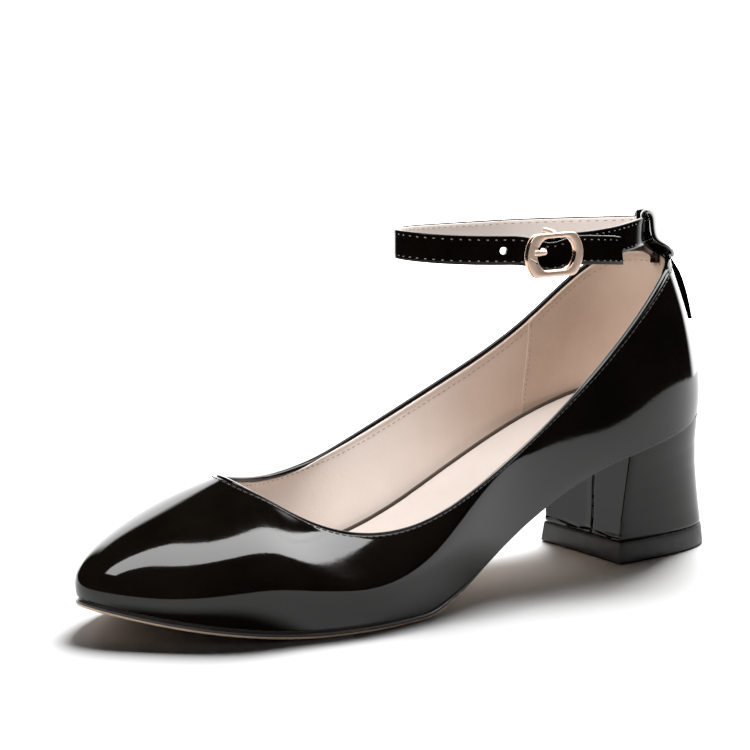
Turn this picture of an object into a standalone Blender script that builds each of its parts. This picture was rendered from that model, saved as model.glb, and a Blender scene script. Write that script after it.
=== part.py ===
"""Left ankle-strap pump on a block heel, women's size 37.

Lengths in the tables are millimetres in shoe terms: along runs from the back of the heel
seat to the toe, out runs to the outer side of the foot, up runs from the floor.
The model is in metres: the toe points along -Y, the outer side along +X, +Z is up.
"""
import math
from collections import namedtuple

import bmesh
import bpy
import numpy as np
from mathutils import Matrix, Vector

for old in list(bpy.data.objects):
    bpy.data.objects.remove(old)

MM = 0.001
GAP = 0.3
WELD = 0.01 * MM
SHARP_ANGLE = math.radians(50.0)

# Colours
PATENT = (0.006, 0.005, 0.005)
SOLE_BLACK = (0.02, 0.018, 0.017)
LIFT_BLACK = (0.015, 0.014, 0.014)
NUDE = (0.78, 0.62, 0.54)
ROSE_GOLD = (0.86, 0.56, 0.42)

# Place of the model's origin, under the middle of the shoe
CENTRE_ALONG = 122.1
CENTRE_OUT = 3.4

# Sole: height and slope of its underside
Profile = namedtuple("Profile", "name along up slope")
SOLE_PROFILE = (
    Profile("back", 0, 47.7, -0.22),
    Profile("seat_end", 50, 36.7, -0.24),
    Profile("shank", 85, 23.9, -0.45),
    Profile("waist", 111, 11.8, -0.47),
    Profile("arch_foot", 128, 4.1, -0.4),
    Profile("tread_start", 144, 0, 0),
    Profile("tread_end", 178, 0, 0),
    Profile("toe", 243, 10, 0.31),
)
SOLE_FORE = 2.6
SOLE_SEAT = 0.8
SOLE_THIN_FROM = 140.0
SOLE_THIN_TO = 105.0
LIP_FORE = 0.2
LIP_SEAT = -0.6
EDGE_ROUND = 0.5

# Insole
INSOLE_THICK = 7.5
INSOLE_TOE_THICK = 4.0
INSOLE_THIN_FROM = 150.0
INSOLE_THIN_TO = 215.0
INSOLE_INSET = 2.8

# Upper
WALL = 1.8
PLAN_SOFTEN = 8.0
UPPER_AROUND = 80
UPPER_RISE = 11

# The edge columns place the lower edge, the top columns the topline. Belly and rise lean
# the wall out and up from the edge, reach and drop lead it in to the topline.
Section = namedtuple(
    "Section", "name edge_along edge_out top_along top_out top_up belly rise reach drop")
SECTIONS = (
    Section("toe", 240.5, -7, 189, -3, 44.2, 3.2, 14.5, 34, 11.5),
    Section("toe_outer", 230, 13, 186, 6.5, 41.3, 6.9, 17.8, 8, 1),
    Section("forepart_outer", 203, 32, 170.5, 21, 31, 9, 22.7, 22.2, 2.9),
    Section("forepart_rear_outer", 185, 39.1, 159, 28.2, 28.1, 0, 22, 32.8, 15),
    Section("ball_outer", 166, 42.5, 146, 32.6, 28.7, 0, 18.6, 30.5, 19.9),
    Section("waist_front_outer", 128, 36.5, 116, 31.6, 37.6, 0, 18.9, 15, 10.1),
    Section("waist_outer", 93, 26.5, 86, 24.6, 50.2, 0, 4.7, 22.5, 13),
    Section("seat_front_outer", 56, 25, 52.5, 22.3, 74.6, 0.5, 4, 11.4, 20.6),
    Section("seat_outer", 21.5, 22, 28, 15.8, 94.8, 0.3, 14, 12, 15.8),
    Section("back", 4.8, 0, 16.2, 0, 99, 3.6, 18, 1, 18),
    Section("seat_inner", 21.5, -22, 26.5, -17, 96.9, 2, 17, 5, 15),
    Section("seat_front_inner", 55, -25, 53.5, -25, 77, 5, 11, 0.5, 20),
    Section("waist_inner", 92, -24, 86.5, -29, 58.7, 5, 14, 1, 14),
    Section("waist_front_inner", 128, -26, 117, -32.5, 44.3, 3, 15, 4, 10),
    Section("ball_inner", 170, -35, 146, -30, 36.2, 2, 17, 18, 8),
    Section("forepart_inner", 207, -31.5, 170, -22, 38.1, 5, 19, 26, 7),
    Section("toe_inner", 230, -20, 185.5, -11, 43, 5, 14, 30, 7),
)

# Sole and insole lofts
OUTLINE_SAMPLES = 720
STATIONS = 56
ACROSS = 5

# Heel: one row for each level, from the top-lift seam (0) to the heel seat (1)
HEEL_AROUND = 30
BREAST_PARTS = 4
LIFT_UP = 7.0
HeelLevel = namedtuple("HeelLevel", "level breast_along back_along half_width squareness")
HEEL_LEVELS = (
    HeelLevel(0.0, 49.0, 4.0, 19.9, 3.0),
    HeelLevel(0.15, 48.6, 4.9, 20.1, 2.9),
    HeelLevel(0.35, 48.2, 6.0, 20.7, 2.8),
    HeelLevel(0.55, 48.0, 6.7, 21.5, 2.65),
    HeelLevel(0.75, 47.9, 6.7, 22.5, 2.5),
    HeelLevel(0.9, 47.8, 6.3, 23.3, 2.45),
    HeelLevel(1.0, 47.8, 5.9, 23.8, 2.4),
)
LIFT_LEVELS = (
    HeelLevel(0.0, 49.6, 3.4, 21.1, 3.0),
    HeelLevel(1.0, 49.0, 4.0, 20.1, 3.0),
)

# Ankle strap: an oval ring, narrower behind, highest in front and on the outer side
STRAP_WIDE = 9.4
STRAP_THICK = 1.6
RING_CENTRE = 70.0
RING_LONG = 52.0
RING_BACK_LONG = 48.0
RING_BACK_TAPER = 0.45
RING_HALF_WIDE = 27.0
RING_STEP = math.radians(4.0)
RingHeight = namedtuple("RingHeight", "name degrees up")
RING_HEIGHTS = (
    RingHeight("front", 0, 110.5),
    RingHeight("front_outer", 45, 110.0),
    RingHeight("outer", 90, 109.0),
    RingHeight("back_outer", 135, 109.0),
    RingHeight("back", 180, 106.4),
    RingHeight("back_inner", 225, 105.0),
    RingHeight("inner", 270, 105.3),
    RingHeight("front_inner", 315, 108.2),
)
STRAP_ACROSS = 2
LAYER = STRAP_THICK + GAP
BAR_RADIUS = 0.8
BAR_ANGLE = math.radians(73.5)
TIP_ANGLE = math.radians(107.5)
TIP_SAG = 3.2
TIP_SLANT = 1.6
FOLD_TAIL_ANGLE = math.radians(13.0)
FOLD_TAIL_STEPS = 4
FOLD_TURN_STEPS = 9

# The strap's last stretch climbs onto its first layer between these angles before the bar
CLIMB_START = math.radians(16.0)
CLIMB_END = math.radians(1.6)
LAP_STEPS = 26

# Buckle: an oval frame and window, each cut flat above and below, set a little low on the strap
BUCKLE_UP = -1.3
FRAME_LONG = 20.5
FRAME_HIGH = 14.0
FRAME_OVAL = 19.8
WINDOW_LONG = 14.0
WINDOW_HIGH = 11.0
WINDOW_OVAL = 15.5
FRAME_THICK = 2.2
FRAME_ROUND = 0.5
SIDE_POINTS = 11
FRAME_DEPTH = LAYER + STRAP_THICK / 2 + GAP + FRAME_THICK / 2
BAR_DEPTH = -(STRAP_THICK / 2 + GAP + BAR_RADIUS)
PRONG_RADIUS = 0.8
PRONG_HOLE_RADIUS = 1.2
PRONG_HOLE_BEHIND = 1.2
PRONG_HOLE_BEYOND = 0.6

# Prong beyond the bar: back of the window's front end, above its rest on the frame
ProngRow = namedtuple("ProngRow", "name back above")
PRONG_ROWS = (
    ProngRow("rise", 1.6, -0.9),
    ProngRow("knee", 0.6, 0.05),
    ProngRow("crest", -0.8, 0.15),
    ProngRow("tip", -2.6, 0.0),
)

# Heel loop: off the strap's middle, from inside the collar, over the strap, to the outer pinch
LOOP_THICK = 1.0
LOOP_ARC = 18.0
LoopRow = namedtuple("LoopRow", "name depth rise wide shift")
LOOP_ROWS = (
    LoopRow("inner_end", 3.3, -11.8, 2.8, 0.0),
    LoopRow("inner_collar", 2.8, -9.0, 3.2, 0.2),
    LoopRow("inner_strap", -1.9, -5.6, 9.0, 1.5),
    LoopRow("inner_middle", -1.9, -0.9, 13.0, 3.0),
    LoopRow("inner_top", -1.9, 4.3, 16.0, 4.0),
    LoopRow("over", 0.0, 6.2, 18.0, 4.5),
    LoopRow("outer_top", 1.9, 4.3, 19.0, 4.5),
    LoopRow("outer_strap", 3.0, -2.6, 15.0, 3.5),
    LoopRow("outer_gather", 6.0, -6.1, 6.0, 1.2),
    LoopRow("pinch", 7.4, -9.4, 2.0, 0.0),
)
LOOP_STEPS = 40
LOOP_ACROSS = 6

# Loop tails: how far along the wall each hangs, and how far it stands off
TAIL_WIDE = 2.6
TAIL_THICK = 1.1
TailRow = namedtuple("TailRow", "name up out stand_off")
TAIL_ROWS = (
    TailRow("knot", 96.3, 1.6, 0.5),
    TailRow("shoulder", 90.5, 2.8, 2.2),
    TailRow("middle", 84.0, 3.8, 2.3),
    TailRow("end", 75.5, 4.4, 1.3),
)
TAIL_SIDES = (("loop_tail_outer", 1.0), ("loop_tail_inner", -1.0))
TAIL_STEPS = 14
TAIL_ACROSS = 2
WALL_SAMPLES = 41


class ClosedSpline:
    """Smooth closed curve through the rows of a table, with a knot for each row."""

    def __init__(self, rows, knots, period):
        self.knots = np.append(knots, period)
        self.period = period
        self.rows = np.vstack([rows, rows[:1]])
        count = len(rows)
        gaps = np.diff(self.knots)
        matrix = np.zeros((count, count))
        slopes = np.diff(self.rows, axis=0) / gaps[:, None]
        for i in range(count):
            matrix[i, i - 1] += gaps[i - 1]
            matrix[i, i] += 2 * (gaps[i - 1] + gaps[i])
            matrix[i, (i + 1) % count] += gaps[i]
        bends = np.linalg.solve(matrix, 6 * (slopes - np.roll(slopes, 1, axis=0)))
        self.bends = np.vstack([bends, bends[:1]])

    def _span(self, u):
        u = np.mod(u, self.period)
        i = np.clip(np.searchsorted(self.knots, u, side="right") - 1, 0, len(self.knots) - 2)
        before = (u - self.knots[i])[:, None]
        after = (self.knots[i + 1] - u)[:, None]
        return i, before, after

    def at(self, u):
        i, before, after = self._span(u)
        gap = before + after
        bent = (self.bends[i] * after**3 + self.bends[i + 1] * before**3) / (6 * gap)
        start = (self.rows[i] / gap - self.bends[i] * gap / 6) * after
        end = (self.rows[i + 1] / gap - self.bends[i + 1] * gap / 6) * before
        return bent + start + end

    def slope(self, u):
        i, before, after = self._span(u)
        gap = before + after
        bent = (self.bends[i + 1] * before**2 - self.bends[i] * after**2) / (2 * gap)
        line = (self.rows[i + 1] - self.rows[i]) / gap
        return bent + line - (self.bends[i + 1] - self.bends[i]) * gap / 6


def smooth(t):
    """Ease from 0 to 1, flat at both ends."""
    t = np.clip(t, 0.0, 1.0)
    return t * t * (3 - 2 * t)


def place(along, out, up):
    """Shoe terms in millimetres to the model's metres."""
    return Vector((out - CENTRE_OUT, CENTRE_ALONG - along, up)) * MM


def sole_bottom(along):
    """Height of the sole's underside: heel seat, arch, flat tread, toe spring."""
    along = np.asarray(along, float)
    knots, ups, slopes = np.array([row[1:] for row in SOLE_PROFILE], float).T
    i = np.clip(np.searchsorted(knots, along, side="right") - 1, 0, len(knots) - 2)
    gap = knots[i + 1] - knots[i]
    t = (along - knots[i]) / gap
    level = ups[i] + (ups[i + 1] - ups[i]) * smooth(t)
    return level + gap * t * (1 - t) * (slopes[i] * (1 - t) - slopes[i + 1] * t)


def forward_share(along):
    """0 at the heel seat, 1 at the forepart."""
    return smooth((np.asarray(along, float) - SOLE_THIN_TO) / (SOLE_THIN_FROM - SOLE_THIN_TO))


def sole_top(along):
    return sole_bottom(along) + SOLE_SEAT + (SOLE_FORE - SOLE_SEAT) * forward_share(along)


def section_spline():
    table = np.array([section[1:] for section in SECTIONS], float)
    edge = table[:, :2]
    steps = np.linalg.norm(np.roll(edge, -1, axis=0) - edge, axis=1)
    knots = np.concatenate([[0.0], np.cumsum(steps)[:-1]])
    return ClosedSpline(table, knots, steps.sum())


LAST = section_spline()
BACK_KNOT = LAST.knots[[section.name for section in SECTIONS].index("back")]


def lower_edge(u):
    """Lower edge of the upper and its outward direction, in plan."""
    edge = LAST.at(u)[:, :2]
    run = LAST.slope(u)[:, :2]
    run /= np.linalg.norm(run, axis=1)[:, None]
    return edge, np.column_stack([-run[:, 1], run[:, 0]]) * OUTWARD


def outward_sign():
    """Whether the outline's left-hand side is the outside."""
    u = np.linspace(0.0, LAST.period, OUTLINE_SAMPLES, endpoint=False)
    edge, run = LAST.at(u)[:, :2], LAST.slope(u)[:, :2]
    area = np.sum(edge[:, 0] * run[:, 1] - edge[:, 1] * run[:, 0])
    return -1.0 if area > 0 else 1.0


OUTWARD = outward_sign()
RING = ClosedSpline(np.array([[row.up] for row in RING_HEIGHTS], float),
                    np.radians([row.degrees for row in RING_HEIGHTS]), 2 * math.pi)


def upper_points(u, v):
    """Outer surface of the upper: u around the lower edge, v from the edge to the topline."""
    edge, outward = lower_edge(u)
    row = LAST.at(u)
    top = row[:, 2:5]
    belly, rise, reach, drop = (row[:, k, None] for k in range(5, 9))
    start = np.column_stack([edge, sole_top(edge[:, 0]) + GAP])
    lean = start + np.hstack([outward * belly, rise])
    inward = edge - top[:, :2]
    inward /= np.sqrt(np.sum(inward**2, axis=1) + PLAN_SOFTEN**2)[:, None]
    lead = top + np.hstack([inward * reach, -drop])
    v = np.asarray(v, float)[:, None]
    w = 1 - v
    return w**3 * start + 3 * w * w * v * lean + 3 * w * v * v * lead + v**3 * top


def ring_plan(angle):
    """Strap ring in plan and its slope: the half behind the centre is shorter and narrows."""
    side, front = math.sin(angle), math.cos(angle)
    behind = min(front, 0.0)
    long = RING_BACK_LONG if behind else RING_LONG
    narrow = 1 - RING_BACK_TAPER * behind**2
    narrowing = 2 * RING_BACK_TAPER * behind * side
    point = Vector((RING_CENTRE + long * front, RING_HALF_WIDE * side * narrow))
    run = Vector((-long * side, RING_HALF_WIDE * (front * narrow + side * narrowing)))
    return point, run


def ring_point(angle, depth=0.0, up=0.0):
    """Point of the strap ring: depth outward from the strap's middle, up across its width."""
    point, run = ring_plan(angle)
    along, out = point + Vector((run.y, -run.x)).normalized() * depth
    return along, out, float(RING.at(np.array([angle]))[0, 0]) + up


def ring_arc(angle):
    """Millimetres of strap for each radian of the ring at an angle."""
    return ring_plan(angle)[1].length


def finish(name, bm, material):
    """Close a sub-part's mesh with its faces outward and put it in the shoe's collection."""
    bmesh.ops.remove_doubles(bm, verts=bm.verts, dist=WELD)
    bmesh.ops.dissolve_degenerate(bm, edges=bm.edges, dist=WELD / 2)
    if bm.calc_volume(signed=True) < 0:
        bmesh.ops.reverse_faces(bm, faces=bm.faces)
    mesh = bpy.data.meshes.new(name)
    bm.to_mesh(mesh)
    bm.free()
    mesh.shade_smooth()
    mesh.set_sharp_from_angle(angle=SHARP_ANGLE)
    return add_object(name, mesh, material)


def add_object(name, mesh, material):
    mesh.materials.clear()
    mesh.materials.append(material)
    obj = bpy.data.objects.new(name, mesh)
    SHOE.objects.link(obj)
    return obj


def mapped_grid(columns, rows, point_at):
    """Grid of columns x rows faces whose corners are put at point_at(0..1, 0..1)."""
    bm = bmesh.new()
    bmesh.ops.create_grid(bm, x_segments=columns, y_segments=rows, size=0.5)
    for vert in bm.verts:
        vert.co = point_at(vert.co.x + 0.5, vert.co.y + 0.5)
    return bm


def shell(name, bm, thickness, offset, material):
    """Open surface given a wall with Solidify."""
    bmesh.ops.remove_doubles(bm, verts=bm.verts, dist=WELD)
    mesh = bpy.data.meshes.new(name)
    bm.to_mesh(mesh)
    bm.free()
    mesh.shade_smooth()
    obj = add_object(name, mesh, material)
    wall = obj.modifiers.new("wall", "SOLIDIFY")
    wall.thickness = thickness * MM
    wall.offset = offset
    wall.use_even_offset = True
    return obj


def make_upper(material):
    def point_at(s, v):
        along, out, up = upper_points(np.array([s * LAST.period]), [v])[0]
        return place(along, out, up)

    return shell("upper", mapped_grid(UPPER_AROUND, UPPER_RISE, point_at), WALL, -1.0, material)


def outline_sides(offset_at):
    """Plan outline moved outward by offset_at(along), as (along, out) of both sides."""
    u = np.linspace(0.0, LAST.period, OUTLINE_SAMPLES + 1)
    edge, outward = lower_edge(u)
    edge = edge + outward * np.asarray(offset_at(edge[:, 0]), float).reshape(-1, 1)
    toe, back = int(np.argmax(edge[:, 0])), int(np.argmin(edge[:, 0]))
    ring = np.roll(edge[:-1], -toe, axis=0)
    turn = (back - toe) % (len(edge) - 1)
    outer = ring[:turn + 1][::-1]
    inner = np.vstack([ring[turn:], ring[:1]])
    return outer, inner


def pad(name, offset_at, bottom_at, top_at, material):
    """Sole-shaped layer: flat stations across the foot, from the back of the heel to the toe."""
    outer, inner = outline_sides(offset_at)
    first, last = outer[0, 0], outer[-1, 0]
    girth = 2 * ACROSS + 4

    def point_at(s, w):
        along = first + (last - first) * (1 - math.cos(math.pi * s)) / 2
        outer_out = np.interp(along, outer[:, 0], outer[:, 1])
        inner_out = np.interp(along, inner[:, 0], inner[:, 1])
        bottom, top = float(bottom_at(along)), float(top_at(along))
        half = (outer_out - inner_out) / 2
        middle = (outer_out + inner_out) / 2
        bevel = min(EDGE_ROUND, half)
        k = round(w * girth) % girth
        on_top = k >= girth / 2
        k = k % (girth // 2)
        if k == ACROSS + 1:
            return place(along, middle + (-half if on_top else half), (bottom + top) / 2)
        share = 2 * k / ACROSS - 1
        out = middle + (half - bevel) * (-share if on_top else share)
        return place(along, out, top if on_top else bottom)

    return finish(name, mapped_grid(STATIONS, girth, point_at), material)


def make_outsole(material):
    def lip(along):
        return LIP_SEAT + (LIP_FORE - LIP_SEAT) * forward_share(along)

    return pad("outsole", lip, sole_bottom, sole_top, material)


def make_insole(material):
    def inset(along):
        return np.full_like(along, -INSOLE_INSET)

    def bottom(along):
        return sole_top(along) + GAP

    def top(along):
        thinning = smooth((along - INSOLE_THIN_FROM) / (INSOLE_THIN_TO - INSOLE_THIN_FROM))
        return bottom(along) + INSOLE_THICK + (INSOLE_TOE_THICK - INSOLE_THICK) * thinning

    return pad("insole", inset, bottom, top, material)


def heel_outline(level_row):
    """D-shaped outline: a straight breast and a rounded back."""
    depth = level_row.breast_along - level_row.back_along
    power = 2 / level_row.squareness
    points = []
    for i in range(HEEL_AROUND + 1):
        turn = math.pi * i / HEEL_AROUND - math.pi / 2
        side = math.copysign(abs(math.sin(turn))**power, turn)
        points.append((level_row.breast_along - depth * math.cos(turn)**power,
                       level_row.half_width * side))
    for i in range(1, BREAST_PARTS):
        share = 1 - 2 * i / BREAST_PARTS
        points.append((level_row.breast_along, level_row.half_width * share))
    return points


def block(name, levels, up_at, material):
    """Loft through D-shaped levels, closed at both ends."""
    around = HEEL_AROUND + BREAST_PARTS
    outlines = [heel_outline(row) for row in levels]

    def point_at(s, t):
        i = round(t * (len(levels) - 1))
        along, out = outlines[i][round(s * around) % around]
        return place(along, out, up_at(along, levels[i].level))

    bm = mapped_grid(around, len(levels) - 1, point_at)
    bmesh.ops.remove_doubles(bm, verts=bm.verts, dist=WELD)
    bmesh.ops.holes_fill(bm, edges=[edge for edge in bm.edges if edge.is_boundary])
    return finish(name, bm, material)


def make_heel(material):
    def up_at(along, level):
        foot = LIFT_UP + GAP
        return foot + (float(sole_bottom(along)) - GAP - foot) * level

    return block("heel_block", HEEL_LEVELS, up_at, material)


def make_top_lift(material):
    return block("top_lift", LIFT_LEVELS, lambda along, level: LIFT_UP * level, material)


def strap_path():
    """Angle, depth and sag along the strap: folded end, once round the ankle, free tip."""
    path = []
    turn_radius = BAR_RADIUS + GAP + STRAP_THICK / 2
    for share in np.linspace(1.0, 0.0, FOLD_TAIL_STEPS):
        path.append((BAR_ANGLE + FOLD_TAIL_ANGLE * share, BAR_DEPTH - turn_radius, 0.0))
    for turn in np.linspace(0.0, math.pi, FOLD_TURN_STEPS)[1:-1]:
        ahead = turn_radius * math.sin(turn) / ring_arc(BAR_ANGLE)
        path.append((BAR_ANGLE - ahead, BAR_DEPTH - turn_radius * math.cos(turn), 0.0))
    meet = BAR_ANGLE + 2 * math.pi
    climb = meet - CLIMB_START
    for angle in np.arange(BAR_ANGLE, climb, RING_STEP):
        path.append((angle, 0.0, 0.0))
    tip = TIP_ANGLE + 2 * math.pi
    for angle in np.linspace(climb, tip, LAP_STEPS):
        lift = LAYER * smooth((angle - climb) / (CLIMB_START - CLIMB_END))
        sag = TIP_SAG * max(0.0, (angle - meet) / (tip - meet))**1.5
        path.append((angle, float(lift), -sag))
    return path


def make_strap(material):
    path = strap_path()
    last = len(path) - 1

    def point_at(s, w):
        i = round(s * last)
        angle, depth, sag = path[i]
        if i == last:
            angle -= TIP_SLANT * w / ring_arc(angle)
        return place(*ring_point(angle, depth, sag + STRAP_WIDE * (w - 0.5)))

    bm = mapped_grid(last, STRAP_ACROSS, point_at)
    return shell("ankle_strap", bm, STRAP_THICK, 0.0, material)


def buckle_axes():
    """Matrix of the buckle's plane: X to the back along the strap, Y up, Z outward."""
    back = Vector((RING_HALF_WIDE * math.cos(BAR_ANGLE), RING_LONG * math.sin(BAR_ANGLE), 0.0))
    back.normalize()
    up = Vector((0.0, 0.0, 1.0))
    outward = back.cross(up)
    turn = Matrix((back, up, outward)).transposed().to_4x4()
    return Matrix.Translation(place(*ring_point(BAR_ANGLE, FRAME_DEPTH, BUCKLE_UP))) @ turn


def curve_mesh(curve):
    """Mesh of a curve with its caps welded, free of the curve."""
    carrier = bpy.data.objects.new("carrier", curve)
    SHOE.objects.link(carrier)
    graph = bpy.context.evaluated_depsgraph_get()
    mesh = bpy.data.meshes.new_from_object(carrier.evaluated_get(graph))
    bpy.data.objects.remove(carrier)
    bm = bmesh.new()
    bm.from_mesh(mesh)
    bmesh.ops.remove_doubles(bm, verts=bm.verts, dist=WELD)
    bm.to_mesh(mesh)
    bm.free()
    mesh.shade_smooth()
    mesh.set_sharp_from_angle(angle=SHARP_ANGLE)
    return mesh


def cut_oval(long, oval, high):
    """Outline of an oval cut flat above and below."""
    corner = math.asin(high / oval)
    points = []
    for middle in (0.0, math.pi):
        for turn in np.linspace(middle - corner, middle + corner, SIDE_POINTS):
            points.append((math.cos(turn) * long / 2, math.sin(turn) * oval / 2))
    return points


def rod(name, points, radius):
    """Round wire through points given in millimetres."""
    curve = bpy.data.curves.new(name, "CURVE")
    curve.dimensions = "3D"
    curve.bevel_depth = radius * MM
    curve.bevel_resolution = 2
    curve.use_fill_caps = True
    spline = curve.splines.new("POLY")
    spline.points.add(len(points) - 1)
    for point, target in zip(spline.points, points):
        point.co = (*(Vector(target) * MM), 1.0)
    return curve_mesh(curve)


def make_buckle(material):
    """Flat oval frame with a centre bar carried on two legs behind it."""
    curve = bpy.data.curves.new("buckle_plate", "CURVE")
    curve.dimensions = "2D"
    curve.fill_mode = "BOTH"
    curve.extrude = (FRAME_THICK / 2 - FRAME_ROUND) * MM
    curve.bevel_depth = FRAME_ROUND * MM
    curve.bevel_resolution = 1
    curve.offset = -FRAME_ROUND * MM
    for sizes in ((FRAME_LONG, FRAME_OVAL, FRAME_HIGH), (WINDOW_LONG, WINDOW_OVAL, WINDOW_HIGH)):
        spline = curve.splines.new("POLY")
        outline = cut_oval(*sizes)
        spline.points.add(len(outline) - 1)
        for point, (x, y) in zip(spline.points, outline):
            point.co = (x * MM, y * MM, 0.0, 1.0)
        spline.use_cyclic_u = True
    frame = add_object("buckle_frame", curve_mesh(curve), material)

    upper_leg = STRAP_WIDE / 2 - BUCKLE_UP + GAP + BAR_RADIUS
    lower_leg = -(FRAME_HIGH + WINDOW_HIGH) / 4
    deep = BAR_DEPTH - FRAME_DEPTH
    bar_points = ((0, upper_leg, 0), (0, upper_leg, deep), (0, lower_leg, deep), (0, lower_leg, 0))
    bar = bpy.data.objects.new("buckle_bar", rod("buckle_bar", bar_points, BAR_RADIUS))
    CUTTERS.objects.link(bar)
    bar.hide_render = True
    bar.display_type = "WIRE"
    join = frame.modifiers.new("centre bar", "BOOLEAN")
    join.operation = "UNION"
    join.object = bar
    for obj in (frame, bar):
        obj.matrix_world = buckle_axes()
    return frame


def prong_points():
    """Prong line in the buckle's plane: from the bar, out through the strap, onto the frame."""
    deep = BAR_DEPTH - FRAME_DEPTH
    over = FRAME_THICK / 2 + GAP + PRONG_RADIUS
    start = -(BAR_RADIUS + GAP + PRONG_RADIUS)
    beyond = [(row.back - WINDOW_LONG / 2, -BUCKLE_UP, over + row.above) for row in PRONG_ROWS]
    return [(start, -BUCKLE_UP, deep + PRONG_RADIUS)] + beyond


def make_prong(material):
    prong = add_object("buckle_prong", rod("buckle_prong", prong_points(), PRONG_RADIUS), material)
    prong.matrix_world = buckle_axes()
    return prong


def cut_prong_hole(strap):
    """Round hole through the strap's layers where the prong passes."""
    start, end = (Vector(point) for point in prong_points()[:2])
    run = (end - start).normalized()
    points = (start - run * PRONG_HOLE_BEHIND, end + run * PRONG_HOLE_BEYOND)
    cutter = bpy.data.objects.new("prong_hole", rod("prong_hole", points, PRONG_HOLE_RADIUS))
    CUTTERS.objects.link(cutter)
    cutter.hide_render = True
    cutter.display_type = "WIRE"
    cutter.matrix_world = buckle_axes()
    cut = strap.modifiers.new("prong hole", "BOOLEAN")
    cut.operation = "DIFFERENCE"
    cut.object = cutter


def through(rows, share):
    """Point on a smooth open curve through the rows of a table (Catmull-Rom)."""
    table = np.array([row[1:] for row in rows], float)
    table = np.vstack([2 * table[0] - table[1], table, 2 * table[-1] - table[-2]])
    x = share * (len(rows) - 1)
    i = min(int(x), len(rows) - 2)
    t = x - i
    a, b, c, d = table[i:i + 4]
    return 0.5 * (2 * b + (c - a) * t + (2 * a - 5 * b + 4 * c - d) * t**2
                  + (3 * b - a - 3 * c + d) * t**3)


def make_loop(material):
    """Strip that holds the strap at the back of the collar and gathers to a pinch outside."""
    def point_at(s, w):
        depth, rise, wide, shift = through(LOOP_ROWS, s)
        angle = math.pi - (shift + wide * (w - 0.5)) / LOOP_ARC
        return place(*ring_point(angle, depth, rise))

    bm = mapped_grid(LOOP_STEPS, LOOP_ACROSS, point_at)
    return shell("heel_loop", bm, LOOP_THICK, 0.0, material)


def back_wall_along(up, out):
    """Where the upper's outer surface lies behind the heel at a height."""
    u = np.full(WALL_SAMPLES, BACK_KNOT - out)
    points = upper_points(u, np.linspace(0.0, 1.0, WALL_SAMPLES))
    return float(np.interp(up, points[:, 2], points[:, 0]))


def make_tail(name, side, material):
    """Narrow strip hanging from the pinch, a little off the back of the upper."""
    def point_at(s, w):
        up, out, stand_off = through(TAIL_ROWS, s)
        out = side * (out + TAIL_WIDE * (w - 0.5))
        along = back_wall_along(up, out) - stand_off - TAIL_THICK / 2
        return place(along, out, up)

    return shell(name, mapped_grid(TAIL_STEPS, TAIL_ACROSS, point_at), TAIL_THICK, 0.0, material)


def principled(name, colour, roughness, metallic=0.0):
    material = bpy.data.materials.new(name)
    material.use_nodes = True
    shader = material.node_tree.nodes["Principled BSDF"]
    shader.inputs["Base Color"].default_value = (*colour, 1.0)
    shader.inputs["Roughness"].default_value = roughness
    shader.inputs["Metallic"].default_value = metallic
    return material


def collection(name):
    group = bpy.data.collections.new(name)
    bpy.context.scene.collection.children.link(group)
    return group


SHOE = collection("ankle_strap_pump")
CUTTERS = collection("cutters")


def main():
    make_upper(principled("upper_patent", PATENT, 0.08))
    make_outsole(principled("outsole_black", SOLE_BLACK, 0.45))
    make_insole(principled("insole_nude", NUDE, 0.55))
    make_heel(principled("heel_patent", PATENT, 0.1))
    make_top_lift(principled("top_lift_rubber", LIFT_BLACK, 0.5))
    strap = make_strap(principled("strap_patent", PATENT, 0.1))
    cut_prong_hole(strap)
    make_buckle(principled("buckle_rose_gold", ROSE_GOLD, 0.2, 1.0))
    make_prong(principled("prong_rose_gold", ROSE_GOLD, 0.2, 1.0))
    make_loop(principled("loop_patent", PATENT, 0.1))
    for name, side in TAIL_SIDES:
        make_tail(name, side, principled(f"{name}_patent", PATENT, 0.1))


main()
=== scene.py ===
"""Looks of the left ankle-strap pump: patent leather, lining, buckle, stitches and the studio.

Tables are millimetres in shoe terms: along runs from the back of the heel seat to the toe,
out runs to the outer side of the foot, up runs from the floor.
"""
import math
from collections import namedtuple

import bpy
import numpy as np
from mathutils import Matrix, Vector


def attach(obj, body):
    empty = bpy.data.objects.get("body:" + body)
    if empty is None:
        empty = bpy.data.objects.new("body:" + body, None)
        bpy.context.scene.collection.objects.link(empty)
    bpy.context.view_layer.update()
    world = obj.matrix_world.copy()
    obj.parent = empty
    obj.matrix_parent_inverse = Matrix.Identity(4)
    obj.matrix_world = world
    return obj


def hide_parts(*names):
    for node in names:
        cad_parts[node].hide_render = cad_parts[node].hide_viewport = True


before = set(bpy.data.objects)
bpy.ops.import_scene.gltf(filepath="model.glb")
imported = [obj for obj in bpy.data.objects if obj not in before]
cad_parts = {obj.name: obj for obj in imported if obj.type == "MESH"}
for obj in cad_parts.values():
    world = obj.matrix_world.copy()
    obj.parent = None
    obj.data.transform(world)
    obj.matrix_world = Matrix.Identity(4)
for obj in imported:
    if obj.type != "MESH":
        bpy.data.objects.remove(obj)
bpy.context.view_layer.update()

MM = 0.001
WELD = 0.005 * MM
CENTRE_ALONG = 122.1
CENTRE_OUT = 3.4
GAP = 0.3

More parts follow.
